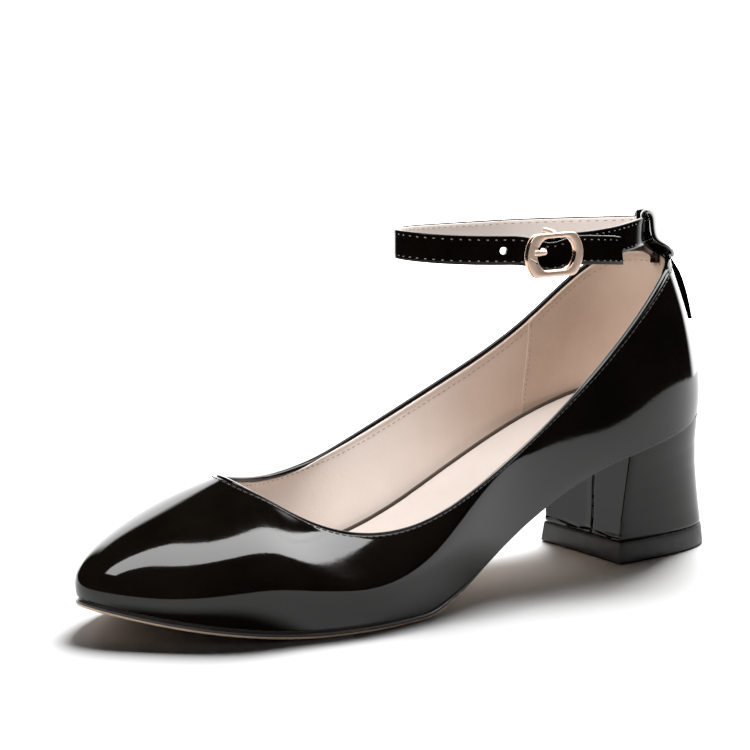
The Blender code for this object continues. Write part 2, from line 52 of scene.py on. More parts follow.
# Sole: height and slope of its underside
Profile = namedtuple("Profile", "name along up slope")
SOLE_PROFILE = (
    Profile("back", 0, 47.7, -0.22),
    Profile("seat_end", 50, 36.7, -0.24),
    Profile("shank", 85, 23.9, -0.45),
    Profile("waist", 111, 11.8, -0.47),
    Profile("arch_foot", 128, 4.1, -0.4),
    Profile("tread_start", 144, 0, 0),
    Profile("tread_end", 178, 0, 0),
    Profile("toe", 243, 10, 0.31),
)
SOLE_FORE = 2.6
SOLE_SEAT = 0.8
SOLE_THIN_FROM = 140.0
SOLE_THIN_TO = 105.0
LIP_FORE = 0.2
LIP_SEAT = -0.6
INSOLE_THICK = 7.5
INSOLE_TOE_THICK = 4.0
INSOLE_THIN_FROM = 150.0
INSOLE_THIN_TO = 215.0
INSOLE_INSET = 2.8

# Upper: the edge columns place the lower edge, the top columns the topline
PLAN_SOFTEN = 8.0
Section = namedtuple(
    "Section", "name edge_along edge_out top_along top_out top_up belly rise reach drop")
SECTIONS = (
    Section("toe", 240.5, -7, 189, -3, 44.2, 3.2, 14.5, 34, 11.5),
    Section("toe_outer", 230, 13, 186, 6.5, 41.3, 6.9, 17.8, 8, 1),
    Section("forepart_outer", 203, 32, 170.5, 21, 31, 9, 22.7, 22.2, 2.9),
    Section("forepart_rear_outer", 185, 39.1, 159, 28.2, 28.1, 0, 22, 32.8, 15),
    Section("ball_outer", 166, 42.5, 146, 32.6, 28.7, 0, 18.6, 30.5, 19.9),
    Section("waist_front_outer", 128, 36.5, 116, 31.6, 37.6, 0, 18.9, 15, 10.1),
    Section("waist_outer", 93, 26.5, 86, 24.6, 50.2, 0, 4.7, 22.5, 13),
    Section("seat_front_outer", 56, 25, 52.5, 22.3, 74.6, 0.5, 4, 11.4, 20.6),
    Section("seat_outer", 21.5, 22, 28, 15.8, 94.8, 0.3, 14, 12, 15.8),
    Section("back", 4.8, 0, 16.2, 0, 99, 3.6, 18, 1, 18),
    Section("seat_inner", 21.5, -22, 26.5, -17, 96.9, 2, 17, 5, 15),
    Section("seat_front_inner", 55, -25, 53.5, -25, 77, 5, 11, 0.5, 20),
    Section("waist_inner", 92, -24, 86.5, -29, 58.7, 5, 14, 1, 14),
    Section("waist_front_inner", 128, -26, 117, -32.5, 44.3, 3, 15, 4, 10),
    Section("ball_inner", 170, -35, 146, -30, 36.2, 2, 17, 18, 8),
    Section("forepart_inner", 207, -31.5, 170, -22, 38.1, 5, 19, 26, 7),
    Section("toe_inner", 230, -20, 185.5, -11, 43, 5, 14, 30, 7),
)

# Heel levels from the top-lift seam (0) to the heel seat (1)
LIFT_UP = 7.0
HeelLevel = namedtuple("HeelLevel", "level breast_along back_along half_width squareness")
HEEL_LEVELS = (
    HeelLevel(0.0, 49.0, 4.0, 19.9, 3.0),
    HeelLevel(0.15, 48.6, 4.9, 20.1, 2.9),
    HeelLevel(0.35, 48.2, 6.0, 20.7, 2.8),
    HeelLevel(0.55, 48.0, 6.7, 21.5, 2.65),
    HeelLevel(0.75, 47.9, 6.7, 22.5, 2.5),
    HeelLevel(0.9, 47.8, 6.3, 23.3, 2.45),
    HeelLevel(1.0, 47.8, 5.9, 23.8, 2.4),
)
LIFT_LEVELS = (
    HeelLevel(0.0, 49.6, 3.4, 21.1, 3.0),
    HeelLevel(1.0, 49.0, 4.0, 20.1, 3.0),
)

# Ankle strap ring
STRAP_WIDE = 9.4
STRAP_THICK = 1.6
RING_CENTRE = 70.0
RING_LONG = 52.0
RING_BACK_LONG = 48.0
RING_BACK_TAPER = 0.45
RING_HALF_WIDE = 27.0
RingHeight = namedtuple("RingHeight", "name degrees up")
RING_HEIGHTS = (
    RingHeight("front", 0, 110.5),
    RingHeight("front_outer", 45, 110.0),
    RingHeight("outer", 90, 109.0),
    RingHeight("back_outer", 135, 109.0),
    RingHeight("back", 180, 106.4),
    RingHeight("back_inner", 225, 105.0),
    RingHeight("inner", 270, 105.3),
    RingHeight("front_inner", 315, 108.2),
)
LAYER = STRAP_THICK + GAP
BAR_RADIUS = 0.8
BAR_ANGLE = math.radians(73.5)
TIP_ANGLE = math.radians(107.5)
TIP_SAG = 3.2
TIP_SLANT = 1.6
FOLD_TAIL_ANGLE = math.radians(13.0)
CLIMB_START = math.radians(16.0)
CLIMB_END = math.radians(1.6)

# Buckle
BUCKLE_UP = -1.3
FRAME_LONG = 20.5
FRAME_HIGH = 14.0
FRAME_OVAL = 19.8
WINDOW_LONG = 14.0
WINDOW_HIGH = 11.0
FRAME_THICK = 2.2
FRAME_DEPTH = LAYER + STRAP_THICK / 2 + GAP + FRAME_THICK / 2
BAR_DEPTH = -(STRAP_THICK / 2 + GAP + BAR_RADIUS)
PRONG_RADIUS = 0.8
PRONG_HOLE_RADIUS = 1.2
ProngRow = namedtuple("ProngRow", "name back above")
PRONG_ROWS = (
    ProngRow("rise", 3.0, -0.9),
    ProngRow("knee", 1.9, 0.0),
    ProngRow("crest", 0.6, 0.1),
    ProngRow("tip", -0.9, -0.25),
)

# Heel loop and its tails
LOOP_THICK = 1.0
LOOP_ARC = 18.0
LoopRow = namedtuple("LoopRow", "name depth rise wide shift")
LOOP_ROWS = (
    LoopRow("inner_end", 3.3, -11.8, 2.8, 0.0),
    LoopRow("inner_collar", 2.8, -9.0, 3.2, 0.2),
    LoopRow("inner_strap", -1.9, -5.6, 9.0, 1.5),
    LoopRow("inner_middle", -1.9, -0.9, 13.0, 3.0),
    LoopRow("inner_top", -1.9, 4.3, 16.0, 4.0),
    LoopRow("over", 0.0, 6.2, 18.0, 4.5),
    LoopRow("outer_top", 1.9, 4.3, 19.0, 4.5),
    LoopRow("outer_strap", 3.0, -2.6, 18.0, 4.5),
    LoopRow("outer_gather", 5.6, -6.4, 12.0, 3.2),
    LoopRow("pinch", 7.2, -9.6, 5.0, 1.0),
)
TAIL_WIDE = 3.5
TAIL_THICK = 1.1
TailRow = namedtuple("TailRow", "name up out stand_off")
TAIL_ROWS = (
    TailRow("knot", 96.3, 1.6, 0.5),
    TailRow("shoulder", 90.5, 2.8, 2.2),
    TailRow("middle", 84.0, 3.8, 2.3),
    TailRow("end", 75.5, 4.4, 1.3),
)
TAIL_SIDES = (("loop_tail_outer", 1.0), ("loop_tail_inner", -1.0))


class ClosedSpline:
    """Smooth closed curve through the rows of a table, with a knot for each row."""

    def __init__(self, rows, knots, period):
        self.knots = np.append(knots, period)
        self.period = period
        self.rows = np.vstack([rows, rows[:1]])
        count = len(rows)
        gaps = np.diff(self.knots)
        matrix = np.zeros((count, count))
        slopes = np.diff(self.rows, axis=0) / gaps[:, None]
        for i in range(count):
            matrix[i, i - 1] += gaps[i - 1]
            matrix[i, i] += 2 * (gaps[i - 1] + gaps[i])
            matrix[i, (i + 1) % count] += gaps[i]
        bends = np.linalg.solve(matrix, 6 * (slopes - np.roll(slopes, 1, axis=0)))
        self.bends = np.vstack([bends, bends[:1]])

    def _span(self, u):
        u = np.mod(u, self.period)
        i = np.clip(np.searchsorted(self.knots, u, side="right") - 1, 0, len(self.knots) - 2)
        return i, (u - self.knots[i])[:, None], (self.knots[i + 1] - u)[:, None]

    def at(self, u):
        i, before, after = self._span(u)
        gap = before + after
        bent = (self.bends[i] * after**3 + self.bends[i + 1] * before**3) / (6 * gap)
        start = (self.rows[i] / gap - self.bends[i] * gap / 6) * after
        end = (self.rows[i + 1] / gap - self.bends[i + 1] * gap / 6) * before
        return bent + start + end

    def slope(self, u):
        i, before, after = self._span(u)
        gap = before + after
        bent = (self.bends[i + 1] * before**2 - self.bends[i] * after**2) / (2 * gap)
        line = (self.rows[i + 1] - self.rows[i]) / gap
        return bent + line - (self.bends[i + 1] - self.bends[i]) * gap / 6


def smooth(t):
    """Ease from 0 to 1, flat at both ends."""
    t = np.clip(t, 0.0, 1.0)
    return t * t * (3 - 2 * t)


def place(points):
    """Shoe terms in millimetres to the model's metres, for an array of points."""
    points = np.asarray(points, float)
    return np.stack([points[..., 1] - CENTRE_OUT, CENTRE_ALONG - points[..., 0],
                     points[..., 2]], axis=-1) * MM


def unit(vectors):
    return vectors / np.linalg.norm(vectors, axis=-1, keepdims=True)


def sole_bottom(along):
    """Height of the sole's underside: heel seat, arch, flat tread, toe spring."""
    along = np.asarray(along, float)
    knots, ups, slopes = np.array([row[1:] for row in SOLE_PROFILE], float).T
    i = np.clip(np.searchsorted(knots, along, side="right") - 1, 0, len(knots) - 2)
    gap = knots[i + 1] - knots[i]
    t = (along - knots[i]) / gap
    level = ups[i] + (ups[i + 1] - ups[i]) * smooth(t)
    return level + gap * t * (1 - t) * (slopes[i] * (1 - t) - slopes[i + 1] * t)


def forward_share(along):
    """0 at the heel seat, 1 at the forepart."""
    return smooth((np.asarray(along, float) - SOLE_THIN_TO) / (SOLE_THIN_FROM - SOLE_THIN_TO))


def sole_thick(along):
    return SOLE_SEAT + (SOLE_FORE - SOLE_SEAT) * forward_share(along)


def sole_top(along):
    return sole_bottom(along) + sole_thick(along)


def section_spline():
    table = np.array([section[1:] for section in SECTIONS], float)
    edge = table[:, :2]
    steps = np.linalg.norm(np.roll(edge, -1, axis=0) - edge, axis=1)
    knots = np.concatenate([[0.0], np.cumsum(steps)[:-1]])
    return ClosedSpline(table, knots, steps.sum())


LAST = section_spline()
KNOT_OF = {section.name: knot for section, knot in zip(SECTIONS, LAST.knots)}
OUTLINE_SAMPLES = 1440


def outward_sign():
    """Whether the outline's left-hand side is the outside."""
    u = np.linspace(0.0, LAST.period, OUTLINE_SAMPLES, endpoint=False)
    edge, run = LAST.at(u)[:, :2], LAST.slope(u)[:, :2]
    return -1.0 if np.sum(edge[:, 0] * run[:, 1] - edge[:, 1] * run[:, 0]) > 0 else 1.0


OUTWARD = outward_sign()
RING = ClosedSpline(np.array([[row.up] for row in RING_HEIGHTS], float),
                    np.radians([row.degrees for row in RING_HEIGHTS]), 2 * math.pi)


def lower_edge(u):
    """Lower edge of the upper and its outward direction, in plan."""
    edge = LAST.at(u)[:, :2]
    run = unit(LAST.slope(u)[:, :2])
    return edge, np.column_stack([-run[:, 1], run[:, 0]]) * OUTWARD


def upper_points(u, v):
    """Outer surface of the upper: u around the lower edge, v from the edge to the topline."""
    edge, outward = lower_edge(u)
    row = LAST.at(u)
    top = row[:, 2:5]
    belly, rise, reach, drop = (row[:, k, None] for k in range(5, 9))
    start = np.column_stack([edge, sole_top(edge[:, 0]) + GAP])
    lean = start + np.hstack([outward * belly, rise])
    inward = edge - top[:, :2]
    inward /= np.sqrt(np.sum(inward**2, axis=1) + PLAN_SOFTEN**2)[:, None]
    lead = top + np.hstack([inward * reach, -drop])
    v = np.asarray(v, float)[:, None]
    w = 1 - v
    return w**3 * start + 3 * w * w * v * lean + 3 * w * v * v * lead + v**3 * top


WALL_SAMPLES = 101
WALL_NUDGE = 0.2


class Wall:
    """Sections of the upper at the places u, read by distance down from the topline."""

    def __init__(self, u):
        self.u = np.asarray(u, float)
        v = np.linspace(1.0, 0.0, WALL_SAMPLES)
        many_u, many_v = (part.ravel() for part in np.meshgrid(self.u, v, indexing="ij"))
        shape = (len(self.u), WALL_SAMPLES, 3)
        self.points = upper_points(many_u, many_v).reshape(shape)
        ahead = upper_points(many_u + WALL_NUDGE, many_v).reshape(shape)
        behind = upper_points(many_u - WALL_NUDGE, many_v).reshape(shape)
        normals = unit(np.cross(ahead - behind, np.gradient(self.points, axis=1)))
        outward = lower_edge(self.u)[1]
        middle = normals[:, WALL_SAMPLES // 2, :2]
        normals *= np.sign(np.sum(middle * outward, axis=1))[:, None, None]
        self.normals = normals
        steps = np.linalg.norm(np.diff(self.points, axis=1), axis=2)
        self.downs = np.concatenate([np.zeros((len(self.u), 1)), np.cumsum(steps, axis=1)], axis=1)
        self.length = self.downs[:, -1]

    def _read(self, table, down):
        down = np.broadcast_to(down, self.u.shape)
        return np.array([[np.interp(d, way, table[i, :, k]) for k in range(3)]
                         for i, (d, way) in enumerate(zip(down, self.downs))])

    def normal(self, down):
        return unit(self._read(self.normals, down))

    def at(self, down, depth=0.0):
        """Points down from the topline and depth in from the outer face."""
        return self._read(self.points, down) - self.normal(down) * np.reshape(depth, (-1, 1))

    def climb(self):
        """Direction up the wall at the topline."""
        return unit(self.points[:, 0] - self.points[:, 2])


def ring_plan(angle):
    """Strap ring in plan and its slope: the half behind the centre is shorter and narrows."""
    side, front = np.sin(angle), np.cos(angle)
    behind = np.minimum(front, 0.0)
    long = np.where(behind < 0, RING_BACK_LONG, RING_LONG)
    narrow = 1 - RING_BACK_TAPER * behind**2
    narrowing = 2 * RING_BACK_TAPER * behind * side
    point = np.stack([RING_CENTRE + long * front, RING_HALF_WIDE * side * narrow], axis=-1)
    run = np.stack([-long * side, RING_HALF_WIDE * (front * narrow + side * narrowing)], axis=-1)
    return point, run


def ring_points(angle, depth=0.0, up=0.0):
    """Points of the strap ring: depth outward from the strap's middle, up across its width."""
    angle = np.asarray(angle, float)
    point, run = ring_plan(angle)
    normal = unit(np.stack([run[..., 1], -run[..., 0]], axis=-1))
    plan = point + normal * np.broadcast_to(depth, angle.shape)[..., None]
    height = RING.at(angle.ravel()).reshape(angle.shape) + up
    return np.concatenate([plan, height[..., None]], axis=-1)


def ring_arc(angle):
    """Millimetres of strap for each radian of the ring at an angle."""
    return np.linalg.norm(ring_plan(np.asarray(angle, float))[1], axis=-1)


def through(rows, shares):
    """Points on a smooth open curve through the rows of a table (Catmull-Rom)."""
    table = np.array([row[1:] for row in rows], float)
    table = np.vstack([2 * table[0] - table[1], table, 2 * table[-1] - table[-2]])
    x = np.asarray(shares, float) * (len(rows) - 1)
    i = np.minimum(x.astype(int), len(rows) - 2)
    t = (x - i)[:, None]
    a, b, c, d = (table[i + k] for k in range(4))
    return 0.5 * (2 * b + (c - a) * t + (2 * a - 5 * b + 4 * c - d) * t**2
                  + (3 * b - a - 3 * c + d) * t**3)


# Modelling


def only(obj):
    """Make obj the one selected and active object."""
    bpy.ops.object.select_all(action="DESELECT")
    obj.select_set(True)
    bpy.context.view_layer.objects.active = obj


def edit(obj, *steps):
    """Run edit-mode steps on the whole of a piece."""
    only(obj)
    bpy.ops.object.mode_set(mode="EDIT")
    bpy.ops.mesh.select_all(action="SELECT")
    for step in steps:
        step()
    bpy.ops.object.mode_set(mode="OBJECT")


def weld():
    bpy.ops.mesh.remove_doubles(threshold=WELD)


def outside():
    bpy.ops.mesh.normals_make_consistent(inside=False)


def fill_ends():
    bpy.ops.mesh.select_all(action="DESELECT")
    bpy.ops.mesh.select_non_manifold()
    bpy.ops.mesh.fill_holes(sides=0)
    bpy.ops.mesh.select_all(action="SELECT")


SHARP_DEGREES = 40.0


def smooth_edges(obj, degrees=SHARP_DEGREES):
    """Shade smooth, but keep edges sharper than an angle."""
    only(obj)
    bpy.ops.object.shade_smooth_by_angle(angle=math.radians(degrees))


def grid_piece(name, points, degrees=SHARP_DEGREES):
    """Grid laid on points[column, row] in shoe millimetres, welded, closed and facing out."""
    columns, rows = points.shape[0] - 1, points.shape[1] - 1
    bpy.ops.object.select_all(action="DESELECT")
    bpy.ops.mesh.primitive_grid_add(x_subdivisions=columns, y_subdivisions=rows, size=1.0)
    piece = bpy.context.active_object
    piece.name = name
    piece.data.name = name
    flat = np.empty(len(piece.data.vertices) * 3)
    piece.data.vertices.foreach_get("co", flat)
    flat = flat.reshape(-1, 3) + 0.5
    column = np.rint(flat[:, 0] * columns).astype(int)
    row = np.rint(flat[:, 1] * rows).astype(int)
    piece.data.vertices.foreach_set("co", place(points[column, row]).ravel())
    edit(piece, weld, fill_ends, outside)
    smooth_edges(piece, degrees)
    return piece


def closed_rows(rows):
    """Rows of points (one per ring) as a grid that closes on itself both ways."""
    grid = np.stack(list(rows) + [rows[0]], axis=1)
    return np.concatenate([grid, grid[:1]], axis=0)


def apply(piece, kind, **settings):
    """Add a modifier and apply it."""
    modifier = piece.modifiers.new(kind.lower(), kind)
    for key, value in settings.items():
        setattr(modifier, key, value)
    only(piece)
    bpy.ops.object.modifier_apply(modifier=modifier.name)


def cut(pieces, tool):
    """Take the shape of a tool out of some pieces, then put the tool away."""
    for piece in pieces:
        apply(piece, "BOOLEAN", object=tool, operation="DIFFERENCE", solver="EXACT")
        smooth_edges(piece)
    bpy.data.objects.remove(tool)


HOLE_SIDES = 32


def punch(pieces, start, end, radius):
    """Round hole through pieces, from start to end in shoe millimetres."""
    low, high = Vector(place(start)), Vector(place(end))
    bpy.ops.object.select_all(action="DESELECT")
    bpy.ops.mesh.primitive_cylinder_add(vertices=HOLE_SIDES, radius=radius * MM,
                                        depth=(high - low).length,
                                        location=(low + high) / 2,
                                        rotation=(high - low).to_track_quat("Z", "Y").to_euler())
    cut(pieces, bpy.context.active_object)


UPPER_COLUMNS = 360
SKIN = 1.05
SKIN_BACK_ROWS = 16
WALL_THICK = 1.8
RIM = 0.9
RIM_STEPS = 11
FLAP_END = 1.5
FLAP_BACK = 0.25
# Turned-in flap of the skin: distance down, and depth in from the wall's face
FLAP_TURN = ((FLAP_END, 1.4), (FLAP_END - 0.1, 1.7), (1.3, WALL_THICK), (1.1, WALL_THICK),
             (RIM, WALL_THICK))
# Outer relief of the folded topline: distance down, and depth in from the wall's face
TOPLINE_RELIEF = ((0.8, -0.12), (1.0, -0.2), (1.2, -0.2), (1.4, -0.1), (1.55, 0.08), (1.7, 0.24),
                  (1.85, 0.14), (2.0, 0.0), (2.2, -0.06), (2.5, -0.04), (3.0, 0.0), (4.0, 0.0))
BODY_START = 5.0
BODY_ROWS = 46


def upper_places(columns=UPPER_COLUMNS):
    return np.linspace(0.0, LAST.period, columns, endpoint=False)


def wall_rows(wall, depth, start_down, count):
    """Rows from start_down to the lower edge at one depth."""
    return [wall.at(start_down + (wall.length - start_down) * share, depth)
            for share in np.linspace(0.0, 1.0, count)]


def rim_rows(wall, down, centre_depth, radius, count):
    """Half round over the top of a wall, from its inner to its outer face."""
    centre = wall.at(down, centre_depth)
    normal, climb = wall.normal(down), wall.climb()
    rows = []
    for turn in np.linspace(math.pi, 0.0, count)[1:-1]:
        rows.append(centre + normal * (radius * math.cos(turn)) + climb * (radius * math.sin(turn)))
    return rows


def make_upper_skin():
    """Patent skin of the upper: folded over the topline and turned in a little way."""
    wall = Wall(upper_places())
    rows = wall_rows(wall, SKIN, FLAP_END + FLAP_BACK, SKIN_BACK_ROWS)[::-1]
    rows += [wall.at(down, depth) for down, depth in FLAP_TURN]
    rows += rim_rows(wall, RIM, RIM, RIM, RIM_STEPS)
    rows += [wall.at(down, depth) for down, depth in TOPLINE_RELIEF]
    rows += wall_rows(wall, 0.0, BODY_START, BODY_ROWS)
    return grid_piece("upper_skin", closed_rows(rows), degrees=70.0)


LINING_OUT = 1.12
LINING_IN = 1.85
LINING_BEAD = 0.3
LINING_TOP = FLAP_END + 0.62
LINING_STEP = 2.0
LINING_BACK_ROWS = 12
LINING_FACE_ROWS = 34
LINING_FACE_START = 1.6
LINING_RIM_STEPS = 9
# Swelling to the lining's bead: distance below its top, and rise off its face
LINING_SWELL = ((1.0, 0.06), (0.5, 0.2))
SEAM_LAP = 0.3
SEAM_TAPER = 6.0
SEAM_STITCH_IN = 1.1
SEAM_STITCH_TOP = 3.2
SEAM_STITCH_FOOT = 8.0
SEAM_MARKS = 60


def make_lining(name, start, end, lap):
    """Leather lining from one seam to the other, from the sole up to the turned-in skin."""
    u = np.linspace(start, end, int((end - start) / LINING_STEP))
    wall = Wall(u)
    inside = LINING_IN + lap * (1 - smooth(np.minimum(u - start, end - u) / SEAM_TAPER))
    middle = (LINING_OUT + inside + LINING_BEAD) / 2
    radius = (inside + LINING_BEAD - LINING_OUT) / 2
    rows = wall_rows(wall, LINING_OUT, LINING_TOP, LINING_BACK_ROWS)
    rows += wall_rows(wall, inside, LINING_TOP + LINING_FACE_START, LINING_FACE_ROWS)[::-1]
    rows += [wall.at(LINING_TOP + down, inside + swell) for down, swell in LINING_SWELL]
    rows += rim_rows(wall, LINING_TOP, middle, radius[:, None], LINING_RIM_STEPS)
    return grid_piece(name, np.stack(rows + [rows[0]], axis=1), degrees=70.0)


def seam_stitches(name, u):
    """Stitches down the lining beside one of its seams."""
    length = Wall([u]).length[0]
    down = np.linspace(SEAM_STITCH_TOP, length - SEAM_STITCH_FOOT, SEAM_MARKS)
    wall = Wall(np.full(len(down), u))
    return stitch_row(name, wall.at(down, LINING_IN + SEAM_LAP), -wall.normal(down), SEAM_STITCH)


def outline_sides(offset_at):
    """Plan outline moved outward by offset_at(along), as (along, out) of both sides."""
    u = np.linspace(0.0, LAST.period, OUTLINE_SAMPLES + 1)
    edge, outward = lower_edge(u)
    edge = edge + outward * np.broadcast_to(offset_at(edge[:, 0]), (len(u),)).reshape(-1, 1)
    toe, back = int(np.argmax(edge[:, 0])), int(np.argmin(edge[:, 0]))
    ring = np.roll(edge[:-1], -toe, axis=0)
    turn = (back - toe) % (len(edge) - 1)
    return ring[:turn + 1][::-1], np.vstack([ring[turn:], ring[:1]])


SOLE_STATIONS = 150
SOLE_ACROSS = 18
CROWN_FADE = 20.0


def layer_piece(name, rings, crown=0.0):
    """Sole-shaped layer: rings (offset_at, up_at) from the bottom face's rim to the top's."""
    share = (1 - np.cos(np.linspace(0.0, math.pi, SOLE_STATIONS + 1))) / 2
    outer_side, inner_side = [], []
    for offset_at, up_at in rings:
        outer, inner = outline_sides(offset_at)
        along = outer[0, 0] + (outer[-1, 0] - outer[0, 0]) * share
        up = up_at(along)
        for side, table in ((outer_side, outer), (inner_side, inner)):
            side.append(np.column_stack([along, np.interp(along, table[:, 0], table[:, 1]), up]))

    def across(start, end, bulge):
        rows = []
        for t in np.linspace(0.0, 1.0, SOLE_ACROSS + 1)[1:-1]:
            row = start * (1 - t) + end * t
            wide = np.abs(start[:, 1] - end[:, 1])
            row[:, 2] += bulge * smooth(4 * t * (1 - t)) * smooth(wide / CROWN_FADE)
            rows.append(row)
        return rows

    rows = across(inner_side[0], outer_side[0], 0.0) + outer_side
    rows += across(outer_side[-1], inner_side[-1], crown) + inner_side[::-1]
    grid = np.stack(rows + [rows[0]], axis=1)
    return grid_piece(name, grid, degrees=35.0)


# Edge of the sole from its tread up: offset from the lip, and share of its thickness
SOLE_EDGE = ((-0.75, 0.0), (-0.45, 0.01), (-0.2, 0.07), (-0.05, 0.16), (0.0, 0.3), (0.0, 0.5),
             (-0.03, 0.62), (-0.3, 0.68), (-0.75, 0.74), (-0.85, 0.84), (-0.9, 0.97), (-1.2, 1.0))


def make_outsole():
    """Sole with a rounded edge and a fine groove under the upper."""
    def lip(along):
        return LIP_SEAT + (LIP_FORE - LIP_SEAT) * forward_share(along)

    def ring(offset, share):
        """Ring of the sole's edge, its offset fading with the sole's thickness."""
        def offset_at(along):
            return lip(along) + offset * forward_share(along)

        def up_at(along):
            return sole_bottom(along) + share * sole_thick(along)

        return offset_at, up_at

    return layer_piece("outsole_edge_and_tread", [ring(*row) for row in SOLE_EDGE])


def insole_up(along):
    """Height of the insole's top face."""
    thinning = smooth((along - INSOLE_THIN_FROM) / (INSOLE_THIN_TO - INSOLE_THIN_FROM))
    return sole_top(along) + GAP + INSOLE_THICK + (INSOLE_TOE_THICK - INSOLE_THICK) * thinning


# Edge of the insole: inset, and distance below its top face, or None on the sole
INSOLE_EDGE = ((0.3, None), (0.0, 2.2), (0.0, 1.2), (0.1, 0.7), (0.35, 0.3), (0.75, 0.07), (1.3, 0.0))
INSOLE_DISH = -0.35


def make_insole():
    """Padded sock, a little hollow across."""
    def ring(inset, below):
        def offset_at(along):
            return np.full_like(along, -(INSOLE_INSET + inset))

        def up_at(along):
            return insole_up(along) - below if below is not None else sole_top(along) + GAP

        return offset_at, up_at

    return layer_piece("insole_sock", [ring(*row) for row in INSOLE_EDGE], INSOLE_DISH)


# Painted shadow round the insole: a dark cord stands in for the shade in the gap by the lining
GAP_SHADOW_INSET = 2.35
GAP_SHADOW_WIDE = 0.42
GAP_SHADOW_HIGH = 0.75
GAP_SHADOW_COLUMNS = 480
GAP_SHADOW_AROUND = 12


def make_gap_shadow():
    """Dark cord in the gap round the insole: painted shadow, a dark piece put where the gap is only in
    shade.
    """
    u = upper_places(GAP_SHADOW_COLUMNS)
    edge, outward = lower_edge(u)
    middle = edge - outward * GAP_SHADOW_INSET
    rows = []
    for turn in np.linspace(0.0, 2 * math.pi, GAP_SHADOW_AROUND, endpoint=False):
        across = middle + outward * (GAP_SHADOW_WIDE * math.cos(turn))
        rows.append(np.column_stack([across, insole_up(middle[:, 0]) + GAP_SHADOW_HIGH * math.sin(turn)]))
    return grid_piece("insole_gap_shadow", closed_rows(rows), degrees=60.0)


HEEL_AROUND = 120
BREAST_PARTS = 150
HEEL_ROWS = 64
SEAM_OUT = 5.0
SEAM_DEEP = 0.5
SEAM_WIDE = 0.32
SEAM_SWAY = 0.2
SEAM_SWAY_TURN = 9
LAP_RAISE = 0.14
LAP_FADE = 4.0
BREAST_FROM = 46.5
BREAST_EASE = 1.0
HEEL_CORNER_PASSES = 2
LIFT_CORNER_PASSES = 1
HEEL_HIGH = 38
HEEL_EDGE = 0.35
HEEL_EDGE_HIGH = 0.6
CREASE_UP = 2.2
CREASE_HIGH = 0.7
CREASE_SWAY = 0.5
CREASE_SWAY_RATE = 0.31
CREASE_DEEP = 0.16
CREASE_VARY = 0.08
CREASE_VARY_RATE = 0.55
CREASE_DRIFT = 1.3
CREASE_DRIFT_RATE = 0.23
# Edge of the top lift: share of its height, and inset
LIFT_EDGE = ((0.0, 0.5), (0.03, 0.2), (0.08, 0.0), (0.3, 0.0), (0.6, 0.0), (0.85, 0.0), (0.95, 0.1),
             (1.0, 0.35))


def heel_row(levels, level):
    """One row of a heel table read between its levels."""
    table = np.array(levels, float)
    return HeelLevel(level, *(np.interp(level, table[:, 0], table[:, k]) for k in range(1, 5)))


def heel_outline(row):
    """D-shaped outline: a rounded back, then the straight breast."""
    depth = row.breast_along - row.back_along
    power = 2 / row.squareness
    turn = np.linspace(-math.pi / 2, math.pi / 2, HEEL_AROUND + 1)
    side = np.sign(turn) * np.abs(np.sin(turn))**power
    back = np.column_stack([row.breast_along - depth * np.maximum(np.cos(turn), 0.0)**power,
                            row.half_width * side])
    share = np.linspace(1.0, -1.0, BREAST_PARTS + 1)[1:-1]
    breast = np.column_stack([np.full_like(share, row.breast_along), row.half_width * share])
    return np.vstack([back, breast])


def soften_corners(points, passes):
    """Round the corners of a closed outline a little."""
    for _ in range(passes):
        points = 0.5 * points + 0.25 * (np.roll(points, 1, axis=0) + np.roll(points, -1, axis=0))
    return points


def tube_piece(name, rows):
    """Piece from outlines stacked from bottom to top."""
    grid = np.stack(rows, axis=1)
    return grid_piece(name, np.concatenate([grid, grid[:1]], axis=0))


def shrunk(outline, inset):
    """Outline drawn in toward its middle."""
    return outline + unit(outline.mean(axis=0) - outline) * inset


def make_heel():
    """Heel covered in patent, its wrap closed by a lapped seam on the breast."""
    rows = []
    foot = LIFT_UP + GAP
    for level in np.linspace(0.0, 1.0, HEEL_ROWS):
        outline = soften_corners(heel_outline(heel_row(HEEL_LEVELS, level)), HEEL_CORNER_PASSES)
        out = outline[:, 1]
        breast = smooth((outline[:, 0] - BREAST_FROM) / BREAST_EASE)
        beside = out - SEAM_OUT - SEAM_SWAY * math.sin(level * SEAM_SWAY_TURN)
        seam = SEAM_DEEP * np.exp(-(beside / SEAM_WIDE)**2)
        seam -= LAP_RAISE * smooth(1 + beside / LAP_FADE) * (beside < 0)
        low = level * HEEL_HIGH
        fold = CREASE_UP + CREASE_SWAY * np.sin(out * CREASE_SWAY_RATE)
        crease = np.exp(-((low - fold) / CREASE_HIGH)**2)
        drift = CREASE_DRIFT * np.sin(out * CREASE_DRIFT_RATE)
        crease *= CREASE_DEEP + CREASE_VARY * np.sin(out * CREASE_VARY_RATE + drift)
        outline[:, 0] -= breast * (seam + crease)
        up = foot + (sole_bottom(outline[:, 0]) - GAP - foot) * level
        edge = HEEL_EDGE * smooth((HEEL_EDGE_HIGH - low) / HEEL_EDGE_HIGH)
        rows.append(np.column_stack([shrunk(outline, edge), up]))
    return tube_piece("heel_cover", rows)


def make_top_lift():
    """Flat wearing piece under the heel, its edges eased."""
    rows = []
    for level, inset in LIFT_EDGE:
        outline = soften_corners(heel_outline(heel_row(LIFT_LEVELS, level)), LIFT_CORNER_PASSES)
        up = np.full(len(outline), LIFT_UP * level)
        rows.append(np.column_stack([shrunk(outline, inset), up]))
    return tube_piece("heel_top_lift", rows)


RING_STEP = math.radians(1.5)
FOLD_TAIL_STEPS = 12
FOLD_TURN_STEPS = 21
LAP_STEPS = 90
FOLD_DROP = 1.2
WINDOW_DIP = 2.3
WINDOW_DIP_WIDE = math.radians(7.0)
TIP_SAG_POWER = 1.5
TIP_SLANT_REACH = 0.12
BAND_STEPS = 7


